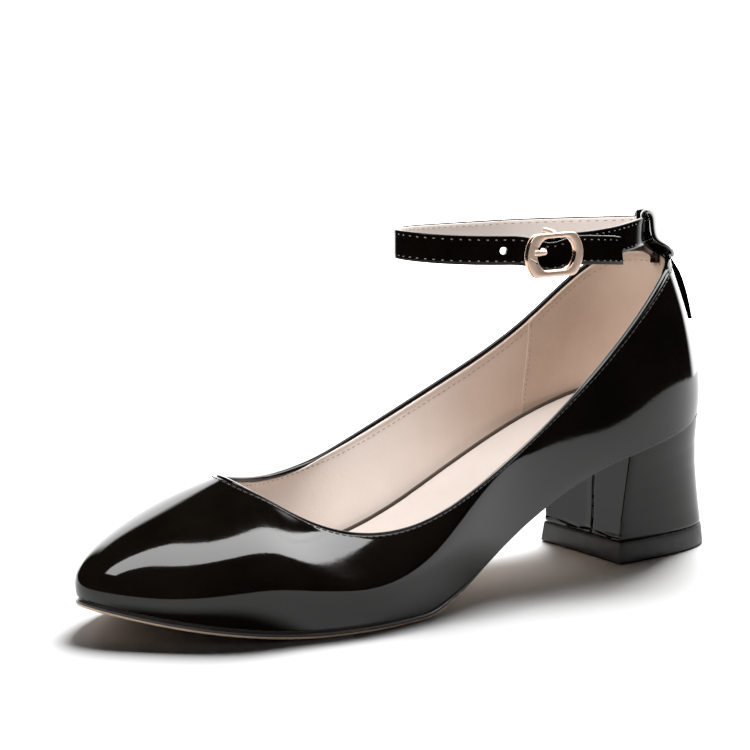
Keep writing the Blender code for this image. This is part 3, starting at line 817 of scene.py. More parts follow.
def strap_path():
    """Angle, depth and sag along the strap: folded end, once round the ankle, free tip."""
    radius = BAR_RADIUS + GAP + STRAP_THICK / 2
    path = [(BAR_ANGLE + FOLD_TAIL_ANGLE * share, BAR_DEPTH - radius, -FOLD_DROP)
            for share in np.linspace(1.0, 0.0, FOLD_TAIL_STEPS)]
    for turn in np.linspace(0.0, math.pi, FOLD_TURN_STEPS)[1:-1]:
        ahead = radius * math.sin(turn) / float(ring_arc(BAR_ANGLE))
        path.append((BAR_ANGLE - ahead, BAR_DEPTH - radius * math.cos(turn),
                     -FOLD_DROP * float(1 - smooth(turn / math.pi))))
    meet = BAR_ANGLE + 2 * math.pi
    climb = meet - CLIMB_START
    path += [(angle, 0.0, 0.0) for angle in np.arange(BAR_ANGLE, climb, RING_STEP)]
    tip = TIP_ANGLE + 2 * math.pi
    for angle in np.linspace(climb, tip, LAP_STEPS):
        lift = LAYER * float(smooth((angle - climb) / (CLIMB_START - CLIMB_END)))
        sag = TIP_SAG * max(0.0, (angle - meet) / (tip - meet))**TIP_SAG_POWER
        sag += WINDOW_DIP * math.exp(-((angle - meet) / WINDOW_DIP_WIDE)**2)
        path.append((angle, lift, -sag))
    return np.array(path)


STRAP_PATH = strap_path()


def strap_line(width_share, off):
    """Points along the strap at a share of its width, off from its middle layer."""
    angle, depth, sag = STRAP_PATH.T
    angle = angle.copy()
    slant = TIP_SLANT * (width_share + 0.5) / float(ring_arc(angle[-1]))
    near_tip = smooth((angle - angle[-1] + TIP_SLANT_REACH) / TIP_SLANT_REACH)
    angle -= slant * near_tip
    return ring_points(angle, depth, sag + STRAP_WIDE * width_share), strap_normals(off)


def strap_normals(off):
    """Offsets of the strap's two faces, square to its run, fold included."""
    angle, depth, sag = STRAP_PATH.T
    run = unit(np.gradient(ring_points(angle, depth, sag), axis=0))
    up = np.array([0.0, 0.0, 1.0])
    return unit(np.cross(run, up)) * off


def strap_band(name, face_in, face_out, edge_round, margin=0.0):
    """One layer of the strap between two offsets, its edges rounded over."""
    middle, half = (face_in + face_out) / 2, (face_out - face_in) / 2
    wide = 0.5 - (edge_round + margin) / STRAP_WIDE
    loop = []
    for side, face in ((1.0, face_in), (-1.0, face_out)):
        loop += [(share, face) for share in np.linspace(-side * wide, side * wide, BAND_STEPS)]
        for turn in np.linspace(-side * math.pi / 2, side * math.pi / 2, BAND_STEPS)[1:-1]:
            reach = wide + edge_round / STRAP_WIDE * math.cos(turn)
            loop.append((side * reach, middle + half * math.sin(turn)))
    rows = []
    for share, off in loop + loop[:1]:
        points, offsets = strap_line(share, off)
        rows.append(points + offsets)
    return grid_piece(name, np.stack(rows, axis=1), degrees=50.0)


STRAP_SKIN_IN = -0.15
STRAP_SKIN_ROUND = 0.35
STRAP_LINING_OUT = STRAP_SKIN_IN - 0.03
STRAP_LINING_ROUND = 0.25
STRAP_LINING_MARGIN = 0.35
HOLE_REACH = 2.0
SPARE_HOLE_ANGLE = math.radians(55.0)
SPARE_HOLE_RADIUS = 1.2
# The prong's hole stops inside the lap, in the buckle's plane
PRONG_HOLE_LINE = ((-2.9, -BUCKLE_UP, -2.2), (-3.36, -BUCKLE_UP, -0.9))


def make_strap():
    """Skin and lining of the strap, with its spare hole and the prong's."""
    skin = strap_band("strap_skin", STRAP_SKIN_IN, STRAP_THICK / 2, STRAP_SKIN_ROUND)
    lining = strap_band("strap_lining", -STRAP_THICK / 2, STRAP_LINING_OUT, STRAP_LINING_ROUND,
                        STRAP_LINING_MARGIN)
    spare = np.array([SPARE_HOLE_ANGLE])
    start, end = (ring_points(spare, depth)[0] for depth in (-HOLE_REACH, HOLE_REACH))
    punch((skin, lining), start, end, SPARE_HOLE_RADIUS)
    start, end = (on_buckle(point) for point in PRONG_HOLE_LINE)
    punch((skin, lining), start, end, PRONG_HOLE_RADIUS)
    return skin, lining


def buckle_axes():
    """Matrix of the buckle's plane: X to the back along the strap, Y up, Z outward."""
    back = Vector((RING_HALF_WIDE * math.cos(BAR_ANGLE), RING_LONG * math.sin(BAR_ANGLE), 0.0))
    back.normalize()
    up = Vector((0.0, 0.0, 1.0))
    turn = Matrix((back, up, back.cross(up))).transposed().to_4x4()
    seat = place(ring_points(np.array([BAR_ANGLE]), FRAME_DEPTH, BUCKLE_UP)[0])
    return Matrix.Translation(Vector(seat)) @ turn


BUCKLE = np.array(buckle_axes())


def on_buckle(points):
    """Points in the buckle's plane, millimetres, back to shoe terms."""
    model = np.asarray(points, float) * MM @ BUCKLE[:3, :3].T + BUCKLE[:3, 3]
    return np.stack([CENTRE_ALONG - model[..., 1] / MM, model[..., 0] / MM + CENTRE_OUT,
                     model[..., 2] / MM], axis=-1)


OVAL_SIDE = 28
OVAL_FLAT = 14


def cut_oval(long, oval, high):
    """Outline of an oval cut flat above and below."""
    corner = math.asin(high / oval)
    points = []
    for middle in (0.0, math.pi):
        turn = np.linspace(middle - corner, middle + corner, OVAL_SIDE)
        points.append(np.column_stack([np.cos(turn) * long / 2, np.sin(turn) * oval / 2]))
    flats = []
    for start, end in ((points[0][-1], points[1][0]), (points[1][-1], points[0][0])):
        share = np.linspace(0.0, 1.0, OVAL_FLAT + 2)[1:-1, None]
        flats.append(start * (1 - share) + end * share)
    return np.vstack([points[0], flats[0], points[1], flats[1]])


# Window as it shows: long, oval and high, moved a little in the frame
VISIBLE_WINDOW = (13.7, 12.6, 10.5)
WINDOW_SHIFT = (0.4, 0.25)
FRAME_PASSES = 2
WINDOW_PASSES = 3
# Section of the frame: share from the outer edge to the window, height in half thicknesses
FRAME_SECTION = ((0.12, -1.0), (0.03, -0.85), (0.0, -0.5), (0.0, 0.4), (0.02, 0.72), (0.07, 0.93),
                 (0.14, 1.0), (0.5, 1.02), (0.86, 1.0), (0.93, 0.93), (0.98, 0.72), (1.0, 0.4),
                 (1.0, -0.5), (0.97, -0.85), (0.88, -1.0))
# The lower bar is deep on the window's side, so that no light shows under the strap
LOWER_BAR_DEEP = 4.6
LOWER_BAR_FROM = 4.0
WINDOW_SIDE = 0.5
SLOT_WIDE = 0.55
SLOT_DEEP = 0.9
SLOT_LINES = (((-8.0, 3.55), (-5.2, 2.3)), ((-9.2, -0.55), (-6.5, -2.15)))


def make_buckle():
    """Frame with a flat face, eased edges and two slots."""
    outer = soften_corners(cut_oval(FRAME_LONG, FRAME_OVAL, FRAME_HIGH), FRAME_PASSES)
    window = soften_corners(cut_oval(*VISIBLE_WINDOW), WINDOW_PASSES) + WINDOW_SHIFT
    rows = []
    for share, height in FRAME_SECTION:
        ring = outer * (1 - share) + window * share
        deep = np.zeros(len(ring))
        if height < 0 and share > WINDOW_SIDE:
            deep = LOWER_BAR_DEEP * smooth(-ring[:, 1] - LOWER_BAR_FROM)
        rows.append(on_buckle(np.column_stack([ring, height * FRAME_THICK / 2 - deep])))
    frame_piece = grid_piece("buckle_frame_cast", closed_rows(rows), degrees=45.0)
    for start, end in SLOT_LINES:
        cut((frame_piece,), slot_tool(start, end))
    return frame_piece


def slot_tool(start, end):
    """Bar that cuts one slot into the frame's face."""
    middle = (np.array(start) + end) / 2
    run = np.array(end) - start
    turn = Matrix.Rotation(math.atan2(run[1], run[0]), 4, "Z")
    seat = Matrix.Translation(Vector((*middle, FRAME_THICK / 2)) * MM)
    shape = Matrix.Diagonal((float(np.hypot(*run)) * MM, SLOT_WIDE * MM, 2 * SLOT_DEEP * MM, 1.0))
    bpy.ops.object.select_all(action="DESELECT")
    bpy.ops.mesh.primitive_cube_add(size=1.0)
    tool = bpy.context.active_object
    tool.matrix_world = Matrix(BUCKLE) @ seat @ turn @ shape
    bpy.context.view_layer.update()
    return tool


ROD_AROUND = 14
STEEP = 0.2


def sweep(points, widths, heights, around=ROD_AROUND):
    """Closed rod through points with oval sections, flat on the width axis."""
    points = np.asarray(points, float)
    run = unit(np.gradient(points, axis=0))
    up = np.array([0.0, 0.0, 1.0])
    side = np.cross(run, up)
    weak = np.linalg.norm(side, axis=1) < STEEP
    side[weak] = np.cross(run[weak], np.array([1.0, 0.0, 0.0]))
    side = unit(side)
    lift = np.cross(side, run)
    rows = []
    for turn in np.linspace(0.0, 2 * math.pi, around + 1):
        rows.append(points + side * (np.reshape(widths, (-1, 1)) * math.cos(turn))
                    + lift * (np.reshape(heights, (-1, 1)) * math.sin(turn)))
    return np.stack(rows, axis=1)


def bent(points, count):
    """Smooth line through a few corner points."""
    Row = namedtuple("Row", "name x y z")
    return through([Row("", *point) for point in points], np.linspace(0.0, 1.0, count))


BAR_STEPS = 60
BAR_ROUND = 0.6
BAR_ROOT = 0.2
BAR_LEG = -0.8
BAR_TURN = 0.7


def make_bar():
    """Centre bar behind the strap, on two legs that join the frame."""
    upper = STRAP_WIDE / 2 - BUCKLE_UP + GAP + BAR_RADIUS
    lower = -(FRAME_HIGH + WINDOW_HIGH) / 4
    deep = BAR_DEPTH - FRAME_DEPTH
    corners = ((0, upper - BAR_ROUND, BAR_ROOT), (0, upper, BAR_LEG), (0, upper, deep + BAR_ROUND),
               (0, upper - BAR_TURN, deep), (0, 0, deep), (0, lower + BAR_ROUND, deep),
               (0, lower, deep + BAR_ROUND), (0, lower, BAR_ROOT))
    line = on_buckle(bent(corners, BAR_STEPS))
    radius = np.full(len(line), BAR_RADIUS)
    return grid_piece("buckle_bar", sweep(line, radius, radius))


# Shares along the prong where it flattens and where its tip rounds off
PRONG_STEPS = 48
PRONG_FLAT_FROM = 0.55
PRONG_FLAT_LONG = 0.3
PRONG_WIDEN = 0.2
PRONG_THIN = 0.25
PRONG_TIP_FROM = 0.94
PRONG_TIP_LONG = 0.06
PRONG_TIP_LEAST = 0.05


def make_prong():
    """Prong from the bar, out through the strap's hole, resting on the frame."""
    deep = BAR_DEPTH - FRAME_DEPTH
    over = FRAME_THICK / 2 + PRONG_RADIUS
    start = -(BAR_RADIUS + GAP + PRONG_RADIUS)
    corners = [(start, -BUCKLE_UP, deep + PRONG_RADIUS)]
    corners += [(row.back - WINDOW_LONG / 2, -BUCKLE_UP, over + row.above) for row in PRONG_ROWS]
    line = bent(corners, PRONG_STEPS)
    share = np.linspace(0.0, 1.0, len(line))
    tip = ((share - PRONG_TIP_FROM) / PRONG_TIP_LONG).clip(0.0, 1.0)
    ease = np.sqrt(np.clip(1 - tip**2, PRONG_TIP_LEAST, 1.0))
    flat = smooth((share - PRONG_FLAT_FROM) / PRONG_FLAT_LONG)
    wide = PRONG_RADIUS * (1 + PRONG_WIDEN * flat) * ease
    high = PRONG_RADIUS * (1 - PRONG_THIN * flat) * ease
    # The buckle's up is the prong's side, so width and height trade places
    return grid_piece("buckle_prong_cast", sweep(on_buckle(line), high, wide), degrees=50.0)


STRIP_ROUND = 0.35
# Shoulder of a strip's rounded edge: share of the rounding, and of half the thickness
SHOULDER_OUT = 0.6
SHOULDER_OFF = 0.5


def strip_piece(name, middle_rows, normals, thick, rounding=STRIP_ROUND):
    """Thin strip: middle_rows[step][across] given a wall with rounded long edges."""
    count = middle_rows.shape[1]
    half = thick / 2
    out, off = rounding * SHOULDER_OUT, half * SHOULDER_OFF
    last = count - 1
    loop = [(k, -half) for k in range(count)]
    loop += [(last + out, -off), (last + rounding, 0.0), (last + out, off)]
    loop += [(k, half) for k in range(last, -1, -1)]
    loop += [(-out, off), (-rounding, 0.0), (-out, -off)]
    rows = []
    for place_across, off in loop + loop[:1]:
        k = int(np.clip(math.floor(place_across), 0, count - 2))
        t = place_across - k
        point = middle_rows[:, k] * (1 - t) + middle_rows[:, k + 1] * t
        normal = normals[:, min(max(round(place_across), 0), last)]
        rows.append(point + normal * off)
    return grid_piece(name, np.stack(rows, axis=1), degrees=55.0)


LOOP_STEPS = 120
LOOP_ACROSS = 13
PLEATS = 2
PLEAT_DEEP = 0.3
PLEAT_FROM = 0.72
PLEAT_LONG = 0.2


def surface_normals(points):
    return unit(np.cross(np.gradient(points, axis=0), np.gradient(points, axis=1)))


def make_loop():
    """Strip that holds the strap at the back of the collar and gathers to a pinch outside."""
    way = np.linspace(0.0, 1.0, LOOP_STEPS)
    depth, rise, wide, shift = (column[:, None] for column in through(LOOP_ROWS, way).T)
    share = np.linspace(-0.5, 0.5, LOOP_ACROSS)
    gathered = smooth((way[:, None] - PLEAT_FROM) / PLEAT_LONG)
    pleat = PLEAT_DEEP * gathered * np.cos(share * PLEATS * 2 * math.pi)
    points = ring_points(math.pi - (shift + wide * share) / LOOP_ARC, depth + pleat, rise)
    return strip_piece("heel_loop_strip", points, surface_normals(points), LOOP_THICK)


PINCH_TURNS = 4
PINCH_PITCH = 0.42
PINCH_FIRST = -9.1
PINCH_STEPS = 40
PINCH_PROUD = 0.12
PINCH_HALF_WIDE = (2.6, 5.6)
THREAD_RADIUS = 0.2
THREAD_AROUND = 8


def pinch_ring(rise):
    """One turn of thread round the loop's pinch, at a height off the ring."""
    gather, pinch = LOOP_ROWS[-2:]
    turn = np.linspace(0.0, 2 * math.pi, PINCH_STEPS)
    rises = (pinch.rise, gather.rise)
    depth = np.interp(rise, rises, (pinch.depth, gather.depth))
    half = np.interp(rise, rises, PINCH_HALF_WIDE)
    angle = math.pi - (pinch.shift + half * np.cos(turn)) / LOOP_ARC
    return ring_points(angle, depth + (LOOP_THICK / 2 + PINCH_PROUD) * np.sin(turn), rise)


def thread_piece(name, line, radius):
    return grid_piece(name, sweep(line, radius, radius, THREAD_AROUND), degrees=60.0)


def make_pinch_thread():
    """A few tight turns of thread that hold the gathered loop."""
    rises = PINCH_FIRST + PINCH_PITCH * np.arange(PINCH_TURNS)
    line = np.concatenate([pinch_ring(rise)[:-1] for rise in rises])
    line[:, 2] += np.linspace(0.0, PINCH_PITCH, len(line))
    return thread_piece("loop_pinch_thread", line, np.full(len(line), THREAD_RADIUS))


# Loose thread ends by the pinch, each as points of along, out and up
THREAD_END_SETS = (((13.4, 1.6, 98.6), (12.7, 2.3, 98.7), (12.3, 2.9, 99.1), (12.2, 3.2, 99.6)),
                   ((13.6, 1.2, 97.4), (12.6, 2.0, 97.1), (12.1, 2.8, 97.2), (12.0, 3.4, 96.9)))
THREAD_END_STEPS = 24
THREAD_END_RADII = (0.17, 0.1)


def make_thread_end(index):
    """One loose end of the pinch's thread, thinner to its tip."""
    line = bent(THREAD_END_SETS[index], THREAD_END_STEPS)
    return thread_piece("thread_end_%d" % (index + 1), line, np.linspace(*THREAD_END_RADII, len(line)))


TAIL_STEPS = 60
TAIL_ACROSS = 5
TAIL_TURN = -1.4
TAIL_TURN_REACH = 6.0
TAIL_ROUND = 0.2


def make_tail(name, side):
    """Narrow strip hanging from the pinch, a little off the back of the upper."""
    up, out, stand_off = through(TAIL_ROWS, np.linspace(0.0, 1.0, TAIL_STEPS)).T
    columns = []
    for share in np.linspace(-0.5, 0.5, TAIL_ACROSS):
        line_out = side * (out + TAIL_WIDE * share)
        wall = Wall(KNOT_OF["back"] - line_out)
        along = [np.interp(height, points[::-1, 2], points[::-1, 0])
                 for height, points in zip(up, wall.points)]
        turned = TAIL_TURN * share * smooth((up[0] - up) / TAIL_TURN_REACH)
        columns.append(np.column_stack([along - stand_off - TAIL_THICK / 2 + turned, line_out, up]))
    points = np.stack(columns, axis=1)
    return strip_piece(name + "_strip", points, surface_normals(points), TAIL_THICK, TAIL_ROUND)


Stitch = namedtuple("Stitch", "pitch long wide high")
SEAM_STITCH = Stitch(1.7, 1.15, 0.34, 0.3)
LINING_STITCH = Stitch(2.1, 1.35, 0.34, 0.3)
TOPLINE_STITCH = Stitch(2.1, 1.7, 0.42, 0.4)
STRAP_STITCH = Stitch(2.85, 0.85, 0.36, 0.33)
STRAP_INNER_STITCH = Stitch(2.85, 1.3, 0.36, 0.3)
STITCH_REACH = 0.3


def stitch_row(name, line, normals, stitch):
    """Row of stitches along a line: one thread bead, copied at each stitch."""
    steps = np.linalg.norm(np.diff(line, axis=0), axis=1)
    way = np.concatenate([[0.0], np.cumsum(steps)])
    marks = np.arange(stitch.pitch / 2, way[-1], stitch.pitch)

    def read(table, places):
        return np.column_stack([np.interp(places, way, table[:, k]) for k in range(3)])

    centre, normal = read(line, marks), unit(read(normals, marks))
    run = unit(read(line, marks + STITCH_REACH) - read(line, marks - STITCH_REACH))
    side = unit(np.cross(normal, run))
    verts, faces = bead_shape()
    points = (centre[:, None] + run[:, None] * (verts[None, :, :1] * stitch.long / 2)
              + side[:, None] * (verts[None, :, 1:2] * stitch.wide / 2)
              + normal[:, None] * (verts[None, :, 2:] * stitch.high / 2))
    mesh = bpy.data.meshes.new(name)
    count = len(verts)
    loops = [[index + i * count for index in face] for i in range(len(marks)) for face in faces]
    mesh.from_pydata(place(points).reshape(-1, 3), [], loops)
    piece = bpy.data.objects.new(name, mesh)
    bpy.context.scene.collection.objects.link(piece)
    edit(piece, outside)
    smooth_edges(piece, degrees=60.0)
    return piece


BEAD_AROUND = 8
BEAD_RINGS = ((-1.0, 0.0), (-0.86, 0.55), (-0.45, 0.95), (0.0, 1.0), (0.45, 0.95), (0.86, 0.55),
              (1.0, 0.0))


def bead_shape():
    """Unit thread bead along X: corners and faces."""
    verts, faces = [(-1.0, 0.0, 0.0)], []
    for x, radius in BEAD_RINGS[1:-1]:
        for k in range(BEAD_AROUND):
            turn = 2 * math.pi * k / BEAD_AROUND
            verts.append((x, radius * math.cos(turn), radius * math.sin(turn)))
    verts.append((1.0, 0.0, 0.0))
    last = len(verts) - 1
    rings = len(BEAD_RINGS) - 2
    for k in range(BEAD_AROUND):
        after = (k + 1) % BEAD_AROUND
        faces.append((0, 1 + after, 1 + k))
        for ring in range(rings - 1):
            low, high = 1 + ring * BEAD_AROUND, 1 + (ring + 1) * BEAD_AROUND
            faces.append((low + k, low + after, high + after, high + k))
        top = 1 + (rings - 1) * BEAD_AROUND
        faces.append((top + k, top + after, last))
    return np.array(verts), faces


# Materials


class Finish:
    """A Principled material with a few helpers for its node tree."""

    def __init__(self, name, **sockets):
        self.material = bpy.data.materials.new(name)
        self.material.use_nodes = True
        self.tree = self.material.node_tree
        self.shader = self.tree.nodes["Principled BSDF"]
        for key, value in sockets.items():
            self.shader.inputs[key.replace("_", " ")].default_value = value
        self.coords = self.tree.nodes.new("ShaderNodeTexCoord").outputs["Object"]
        self.last_normal = None

    def link(self, source, target):
        self.tree.links.new(source, target)

    def noise(self, scale, detail=3.0, rough=0.5, stretch=None):
        node = self.tree.nodes.new("ShaderNodeTexNoise")
        node.inputs["Scale"].default_value = scale
        node.inputs["Detail"].default_value = detail
        node.inputs["Roughness"].default_value = rough
        self.link(self.stretched(stretch), node.inputs["Vector"])
        return node.outputs["Fac"]

    def stretched(self, stretch):
        if stretch is None:
            return self.coords
        node = self.tree.nodes.new("ShaderNodeMapping")
        node.inputs["Scale"].default_value = stretch
        self.link(self.coords, node.inputs["Vector"])
        return node.outputs["Vector"]

    def cells(self, scale):
        node = self.tree.nodes.new("ShaderNodeTexVoronoi")
        node.inputs["Scale"].default_value = scale
        self.link(self.coords, node.inputs["Vector"])
        return node.outputs["Distance"]

    def ramp(self, fac, *stops):
        node = self.tree.nodes.new("ShaderNodeValToRGB")
        while len(node.color_ramp.elements) < len(stops):
            node.color_ramp.elements.new(0.5)
        for element, (position, colour) in zip(node.color_ramp.elements, stops):
            element.position = position
            element.color = (*colour, 1.0)
        self.link(fac, node.inputs["Fac"])
        return node.outputs["Color"]

    def span(self, fac, low, high):
        node = self.tree.nodes.new("ShaderNodeMapRange")
        node.inputs["To Min"].default_value = low
        node.inputs["To Max"].default_value = high
        self.link(fac, node.inputs["Value"])
        return node.outputs["Result"]

    def bump(self, height, strength, distance):
        node = self.tree.nodes.new("ShaderNodeBump")
        node.inputs["Strength"].default_value = strength
        node.inputs["Distance"].default_value = distance
        self.link(height, node.inputs["Height"])
        if self.last_normal is not None:
            self.link(self.last_normal, node.inputs["Normal"])
        self.last_normal = node.outputs["Normal"]
        self.link(self.last_normal, self.shader.inputs["Normal"])

    def lengthwise(self, front, back):
        """0 in front of one place along the shoe, 1 behind another, in metres of Y."""
        parts = self.tree.nodes.new("ShaderNodeSeparateXYZ")
        self.link(self.coords, parts.inputs["Vector"])
        node = self.tree.nodes.new("ShaderNodeMapRange")
        node.interpolation_type = "SMOOTHSTEP"
        node.inputs["From Min"].default_value = front
        node.inputs["From Max"].default_value = back
        self.link(parts.outputs["Y"], node.inputs["Value"])
        return node.outputs["Result"]

    def blend(self, fac, low, high):
        node = self.tree.nodes.new("ShaderNodeMix")
        node.data_type = "RGBA"
        self.link(fac, node.inputs["Factor"])
        self.link(low, node.inputs["A"])
        self.link(high, node.inputs["B"])
        return node.outputs["Result"]

    def colour(self, output):
        self.link(output, self.shader.inputs["Base Color"])

    def rough(self, output):
        self.link(output, self.shader.inputs["Roughness"])


def patent(name, wave=1.0, gloss=1.46):
    """Black patent leather: a hard clear gloss over a faintly uneven black."""
    finish = Finish(name, IOR=gloss)
    blot = finish.noise(55.0, 4.0)
    finish.colour(finish.ramp(blot, (0.3, (0.0020, 0.0014, 0.0008)), (0.75, (0.0046, 0.0034, 0.0024))))
    finish.rough(finish.span(finish.noise(240.0, 3.0), 0.03, 0.09))
    finish.bump(finish.noise(26.0, 2.0), 0.06 * wave, 0.0012)
    finish.bump(finish.noise(700.0, 3.0), 0.05 * wave, 0.00012)
    return finish.material


# Where the lining's painted shade darkens it toward the heel, in metres of Y
HEEL_SHADE_SPAN = (0.005, 0.075)


def leather(name, light, dark, grain, gloss, rear=None):
    """Smooth lining leather with fine pores and creases; given heel tones, painted shade darkens it
    towards the heel.
    """
    finish = Finish(name, Sheen_Weight=0.08, Sheen_Roughness=0.5)
    blot = finish.noise(38.0, 5.0, 0.6)
    tone = finish.ramp(blot, (0.28, dark), (0.72, light))
    if rear:
        # Painted shade: darker tones toward the heel, where the lining stands in shade
        heel_shade_tone = finish.ramp(blot, (0.28, rear[1]), (0.72, rear[0]))
        tone = finish.blend(finish.lengthwise(*HEEL_SHADE_SPAN), tone, heel_shade_tone)
    finish.colour(tone)
    finish.rough(finish.span(finish.noise(420.0, 4.0), gloss - 0.08, gloss + 0.1))
    finish.bump(finish.noise(90.0, 4.0, 0.6), 0.16, 0.0006)
    finish.bump(finish.cells(grain), 0.22, 0.00016)
    finish.bump(finish.noise(grain * 2.4, 3.0), 0.2, 0.0001)
    return finish.material


def metal(name, light, dark, metallic, gloss):
    """Polished rose gold with faint rubbing marks."""
    finish = Finish(name, Metallic=metallic)
    blot = finish.noise(160.0, 4.0)
    finish.colour(finish.ramp(blot, (0.3, dark), (0.7, light)))
    finish.rough(finish.span(finish.noise(900.0, 4.0, 0.6), gloss, gloss + 0.12))
    finish.bump(finish.noise(1400.0, 2.0, 0.5, (1.0, 1.0, 0.25)), 0.06, 0.00005)
    return finish.material


def sole_edge(name):
    """Painted sole edge, softly polished, with fine lengthwise lines."""
    finish = Finish(name, Coat_Weight=0.2, Coat_Roughness=0.2)
    lines = finish.noise(500.0, 4.0, 0.6, (0.2, 0.05, 1.6))
    finish.colour(finish.ramp(lines, (0.3, (0.008, 0.007, 0.007)), (0.75, (0.024, 0.02, 0.018))))
    finish.rough(finish.span(finish.noise(300.0, 3.0), 0.28, 0.46))
    finish.bump(lines, 0.15, 0.0001)
    return finish.material


def sole_tread(name):
    """Tan underside with small speckles and rub marks."""
    finish = Finish(name)
    blot = finish.noise(60.0, 6.0, 0.65)
    finish.colour(finish.ramp(blot, (0.3, (0.42, 0.30, 0.21)), (0.55, (0.56, 0.42, 0.31)),
                              (0.8, (0.64, 0.51, 0.40))))
    finish.rough(finish.span(finish.noise(500.0, 3.0), 0.45, 0.7))
    finish.bump(finish.noise(1300.0, 3.0), 0.25, 0.00012)
    finish.bump(finish.noise(80.0, 3.0, 0.6, (1.0, 0.2, 1.0)), 0.12, 0.0003)
    return finish.material


def rubber(name):
    """Hard black rubber with a matt moulded face."""
    finish = Finish(name)
    blot = finish.noise(120.0, 5.0, 0.6)
    finish.colour(finish.ramp(blot, (0.3, (0.006, 0.0055, 0.0055)), (0.75, (0.016, 0.0145, 0.014))))
    finish.rough(finish.span(finish.noise(350.0, 4.0), 0.36, 0.6))
    finish.bump(finish.noise(1500.0, 3.0), 0.3, 0.0001)
    finish.bump(finish.noise(500.0, 2.0, 0.5, (0.2, 0.2, 1.4)), 0.12, 0.00015)
    return finish.material


def thread(name, light, dark):
    """Twisted sewing thread."""
    finish = Finish(name, Sheen_Weight=0.25, Sheen_Roughness=0.4)
    twist = finish.noise(2600.0, 2.0)
    finish.colour(finish.ramp(twist, (0.3, dark), (0.7, light)))
    finish.rough(finish.span(twist, 0.45, 0.7))
    finish.bump(twist, 0.4, 0.0001)
    return finish.material


def dress(piece, material, node=None):
    """Give a piece its material and its body, and hide the CAD node that it stands for."""
    piece.data.materials.clear()
    piece.data.materials.append(material)
    if node:
        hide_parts(node)
    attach(piece, "root")
    return piece


def unmirrored(piece):
    """Keep a piece out of the mirror images on the vamp."""
    piece.visible_glossy = False
    return piece


PATENT_UPPER = patent("patent_black_upper")
PATENT_STRAP = patent("patent_black_strap", wave=1.4, gloss=1.3)
PATENT_HEEL = patent("patent_black_heel", wave=1.2, gloss=1.3)
# The lining's second pair of tones is painted shade toward the heel
LINING = leather("lining_leather_nude_heel_shaded", (0.90, 0.805, 0.745), (0.835, 0.735, 0.67), 900.0, 0.5,
                 ((0.75, 0.585, 0.475), (0.66, 0.50, 0.395)))
SOCK = leather("insole_leather_nude", (0.56, 0.495, 0.455), (0.515, 0.445, 0.405), 750.0, 0.48)
STRAP_LINING = leather("strap_lining_cream", (0.86, 0.79, 0.74), (0.80, 0.715, 0.66), 900.0, 0.5)
ROSE_GOLD = metal("rose_gold_face", (0.94, 0.72, 0.58), (0.87, 0.62, 0.48), 0.62, 0.24)
# Darker copy of the rose gold for the frame's sides: painted shade where they mirror the dark studio
ROSE_GOLD_SHADED_SIDE = metal("rose_gold_painted_shade_side", (0.72, 0.48, 0.35), (0.60, 0.38, 0.27), 1.0, 0.12)
EDGE_BLACK = sole_edge("sole_edge_black")
TREAD_TAN = sole_tread("sole_tread_tan")
LIFT_BLACK = rubber("top_lift_rubber")
# Dark brown of the painted gap shadow round the insole
GAP_SHADOW_BROWN = leather("gap_shadow_brown", (0.085, 0.058, 0.042), (0.05, 0.034, 0.025), 1200.0,
                        0.55)
THREAD_PALE = thread("thread_pale", (0.25, 0.225, 0.205), (0.16, 0.14, 0.125))
THREAD_BLACK = thread("thread_black", (0.05, 0.045, 0.042), (0.02, 0.018, 0.017))
THREAD_NUDE = thread("thread_nude", (0.52, 0.40, 0.32), (0.38, 0.28, 0.22))


TOPLINE_MARKS = 720
LINING_STITCH_DOWN = 4.6
TOPLINE_STITCH_DOWN = 2.75
TOPLINE_STITCH_PROUD = 0.02


def build_upper():
    dress(make_upper_skin(), PATENT_UPPER, "upper")
    outer_seam, inner_seam = KNOT_OF["seat_front_outer"], KNOT_OF["seat_front_inner"]
    dress(make_lining("lining_vamp", inner_seam, outer_seam + LAST.period, 0.0), LINING)
    dress(make_lining("lining_quarter", outer_seam, inner_seam, SEAM_LAP), LINING)
    for name, u in (("lining_seam_outer", outer_seam + SEAM_STITCH_IN),
                    ("lining_seam_inner", inner_seam - SEAM_STITCH_IN)):
        dress(seam_stitches(name, u), THREAD_NUDE)
    wall = Wall(np.append(upper_places(TOPLINE_MARKS), LAST.period))
    line, normals = wall.at(LINING_STITCH_DOWN, LINING_IN), -wall.normal(LINING_STITCH_DOWN)
    dress(stitch_row("lining_top_stitches", line, normals, LINING_STITCH), THREAD_NUDE)
    line = wall.at(TOPLINE_STITCH_DOWN, -TOPLINE_STITCH_PROUD)
    normals = wall.normal(TOPLINE_STITCH_DOWN)
    dress(stitch_row("topline_stitches", line, normals, TOPLINE_STITCH), THREAD_BLACK)


# The tan of the tread: faces that look down, and the foot of the edge along the forepart
TREAD_FACING = -0.55
TAN_LEVEL = 0.36
TAN_FORE = 0.6


def build_sole():
    outsole = make_outsole()
    dress(outsole, EDGE_BLACK, "outsole")
    outsole.data.materials.append(TREAD_TAN)
    tan = np.zeros(len(outsole.data.polygons), int)
    for polygon in outsole.data.polygons:
        along = CENTRE_ALONG - polygon.center.y / MM
        level = (polygon.center.z / MM - sole_bottom(along)) / sole_thick(along)
        foot = level < TAN_LEVEL and forward_share(along) > TAN_FORE
        tan[polygon.index] = int(polygon.normal.z < TREAD_FACING or foot)
    outsole.data.polygons.foreach_set("material_index", tan)
    dress(make_insole(), SOCK, "insole")
    # Painted shadow in the gap round the insole
    dress(make_gap_shadow(), GAP_SHADOW_BROWN)


def build_heel():
    dress(make_heel(), PATENT_HEEL, "heel_block")
    dress(make_top_lift(), LIFT_BLACK, "top_lift")


STRAP_STITCH_IN = 1.3
INNER_ROW_START = BAR_ANGLE + 1.5 * FOLD_TAIL_ANGLE
SINGLE_LAYER = 0.01
STRAP_ROWS = (("upper", 1.0), ("lower", -1.0))


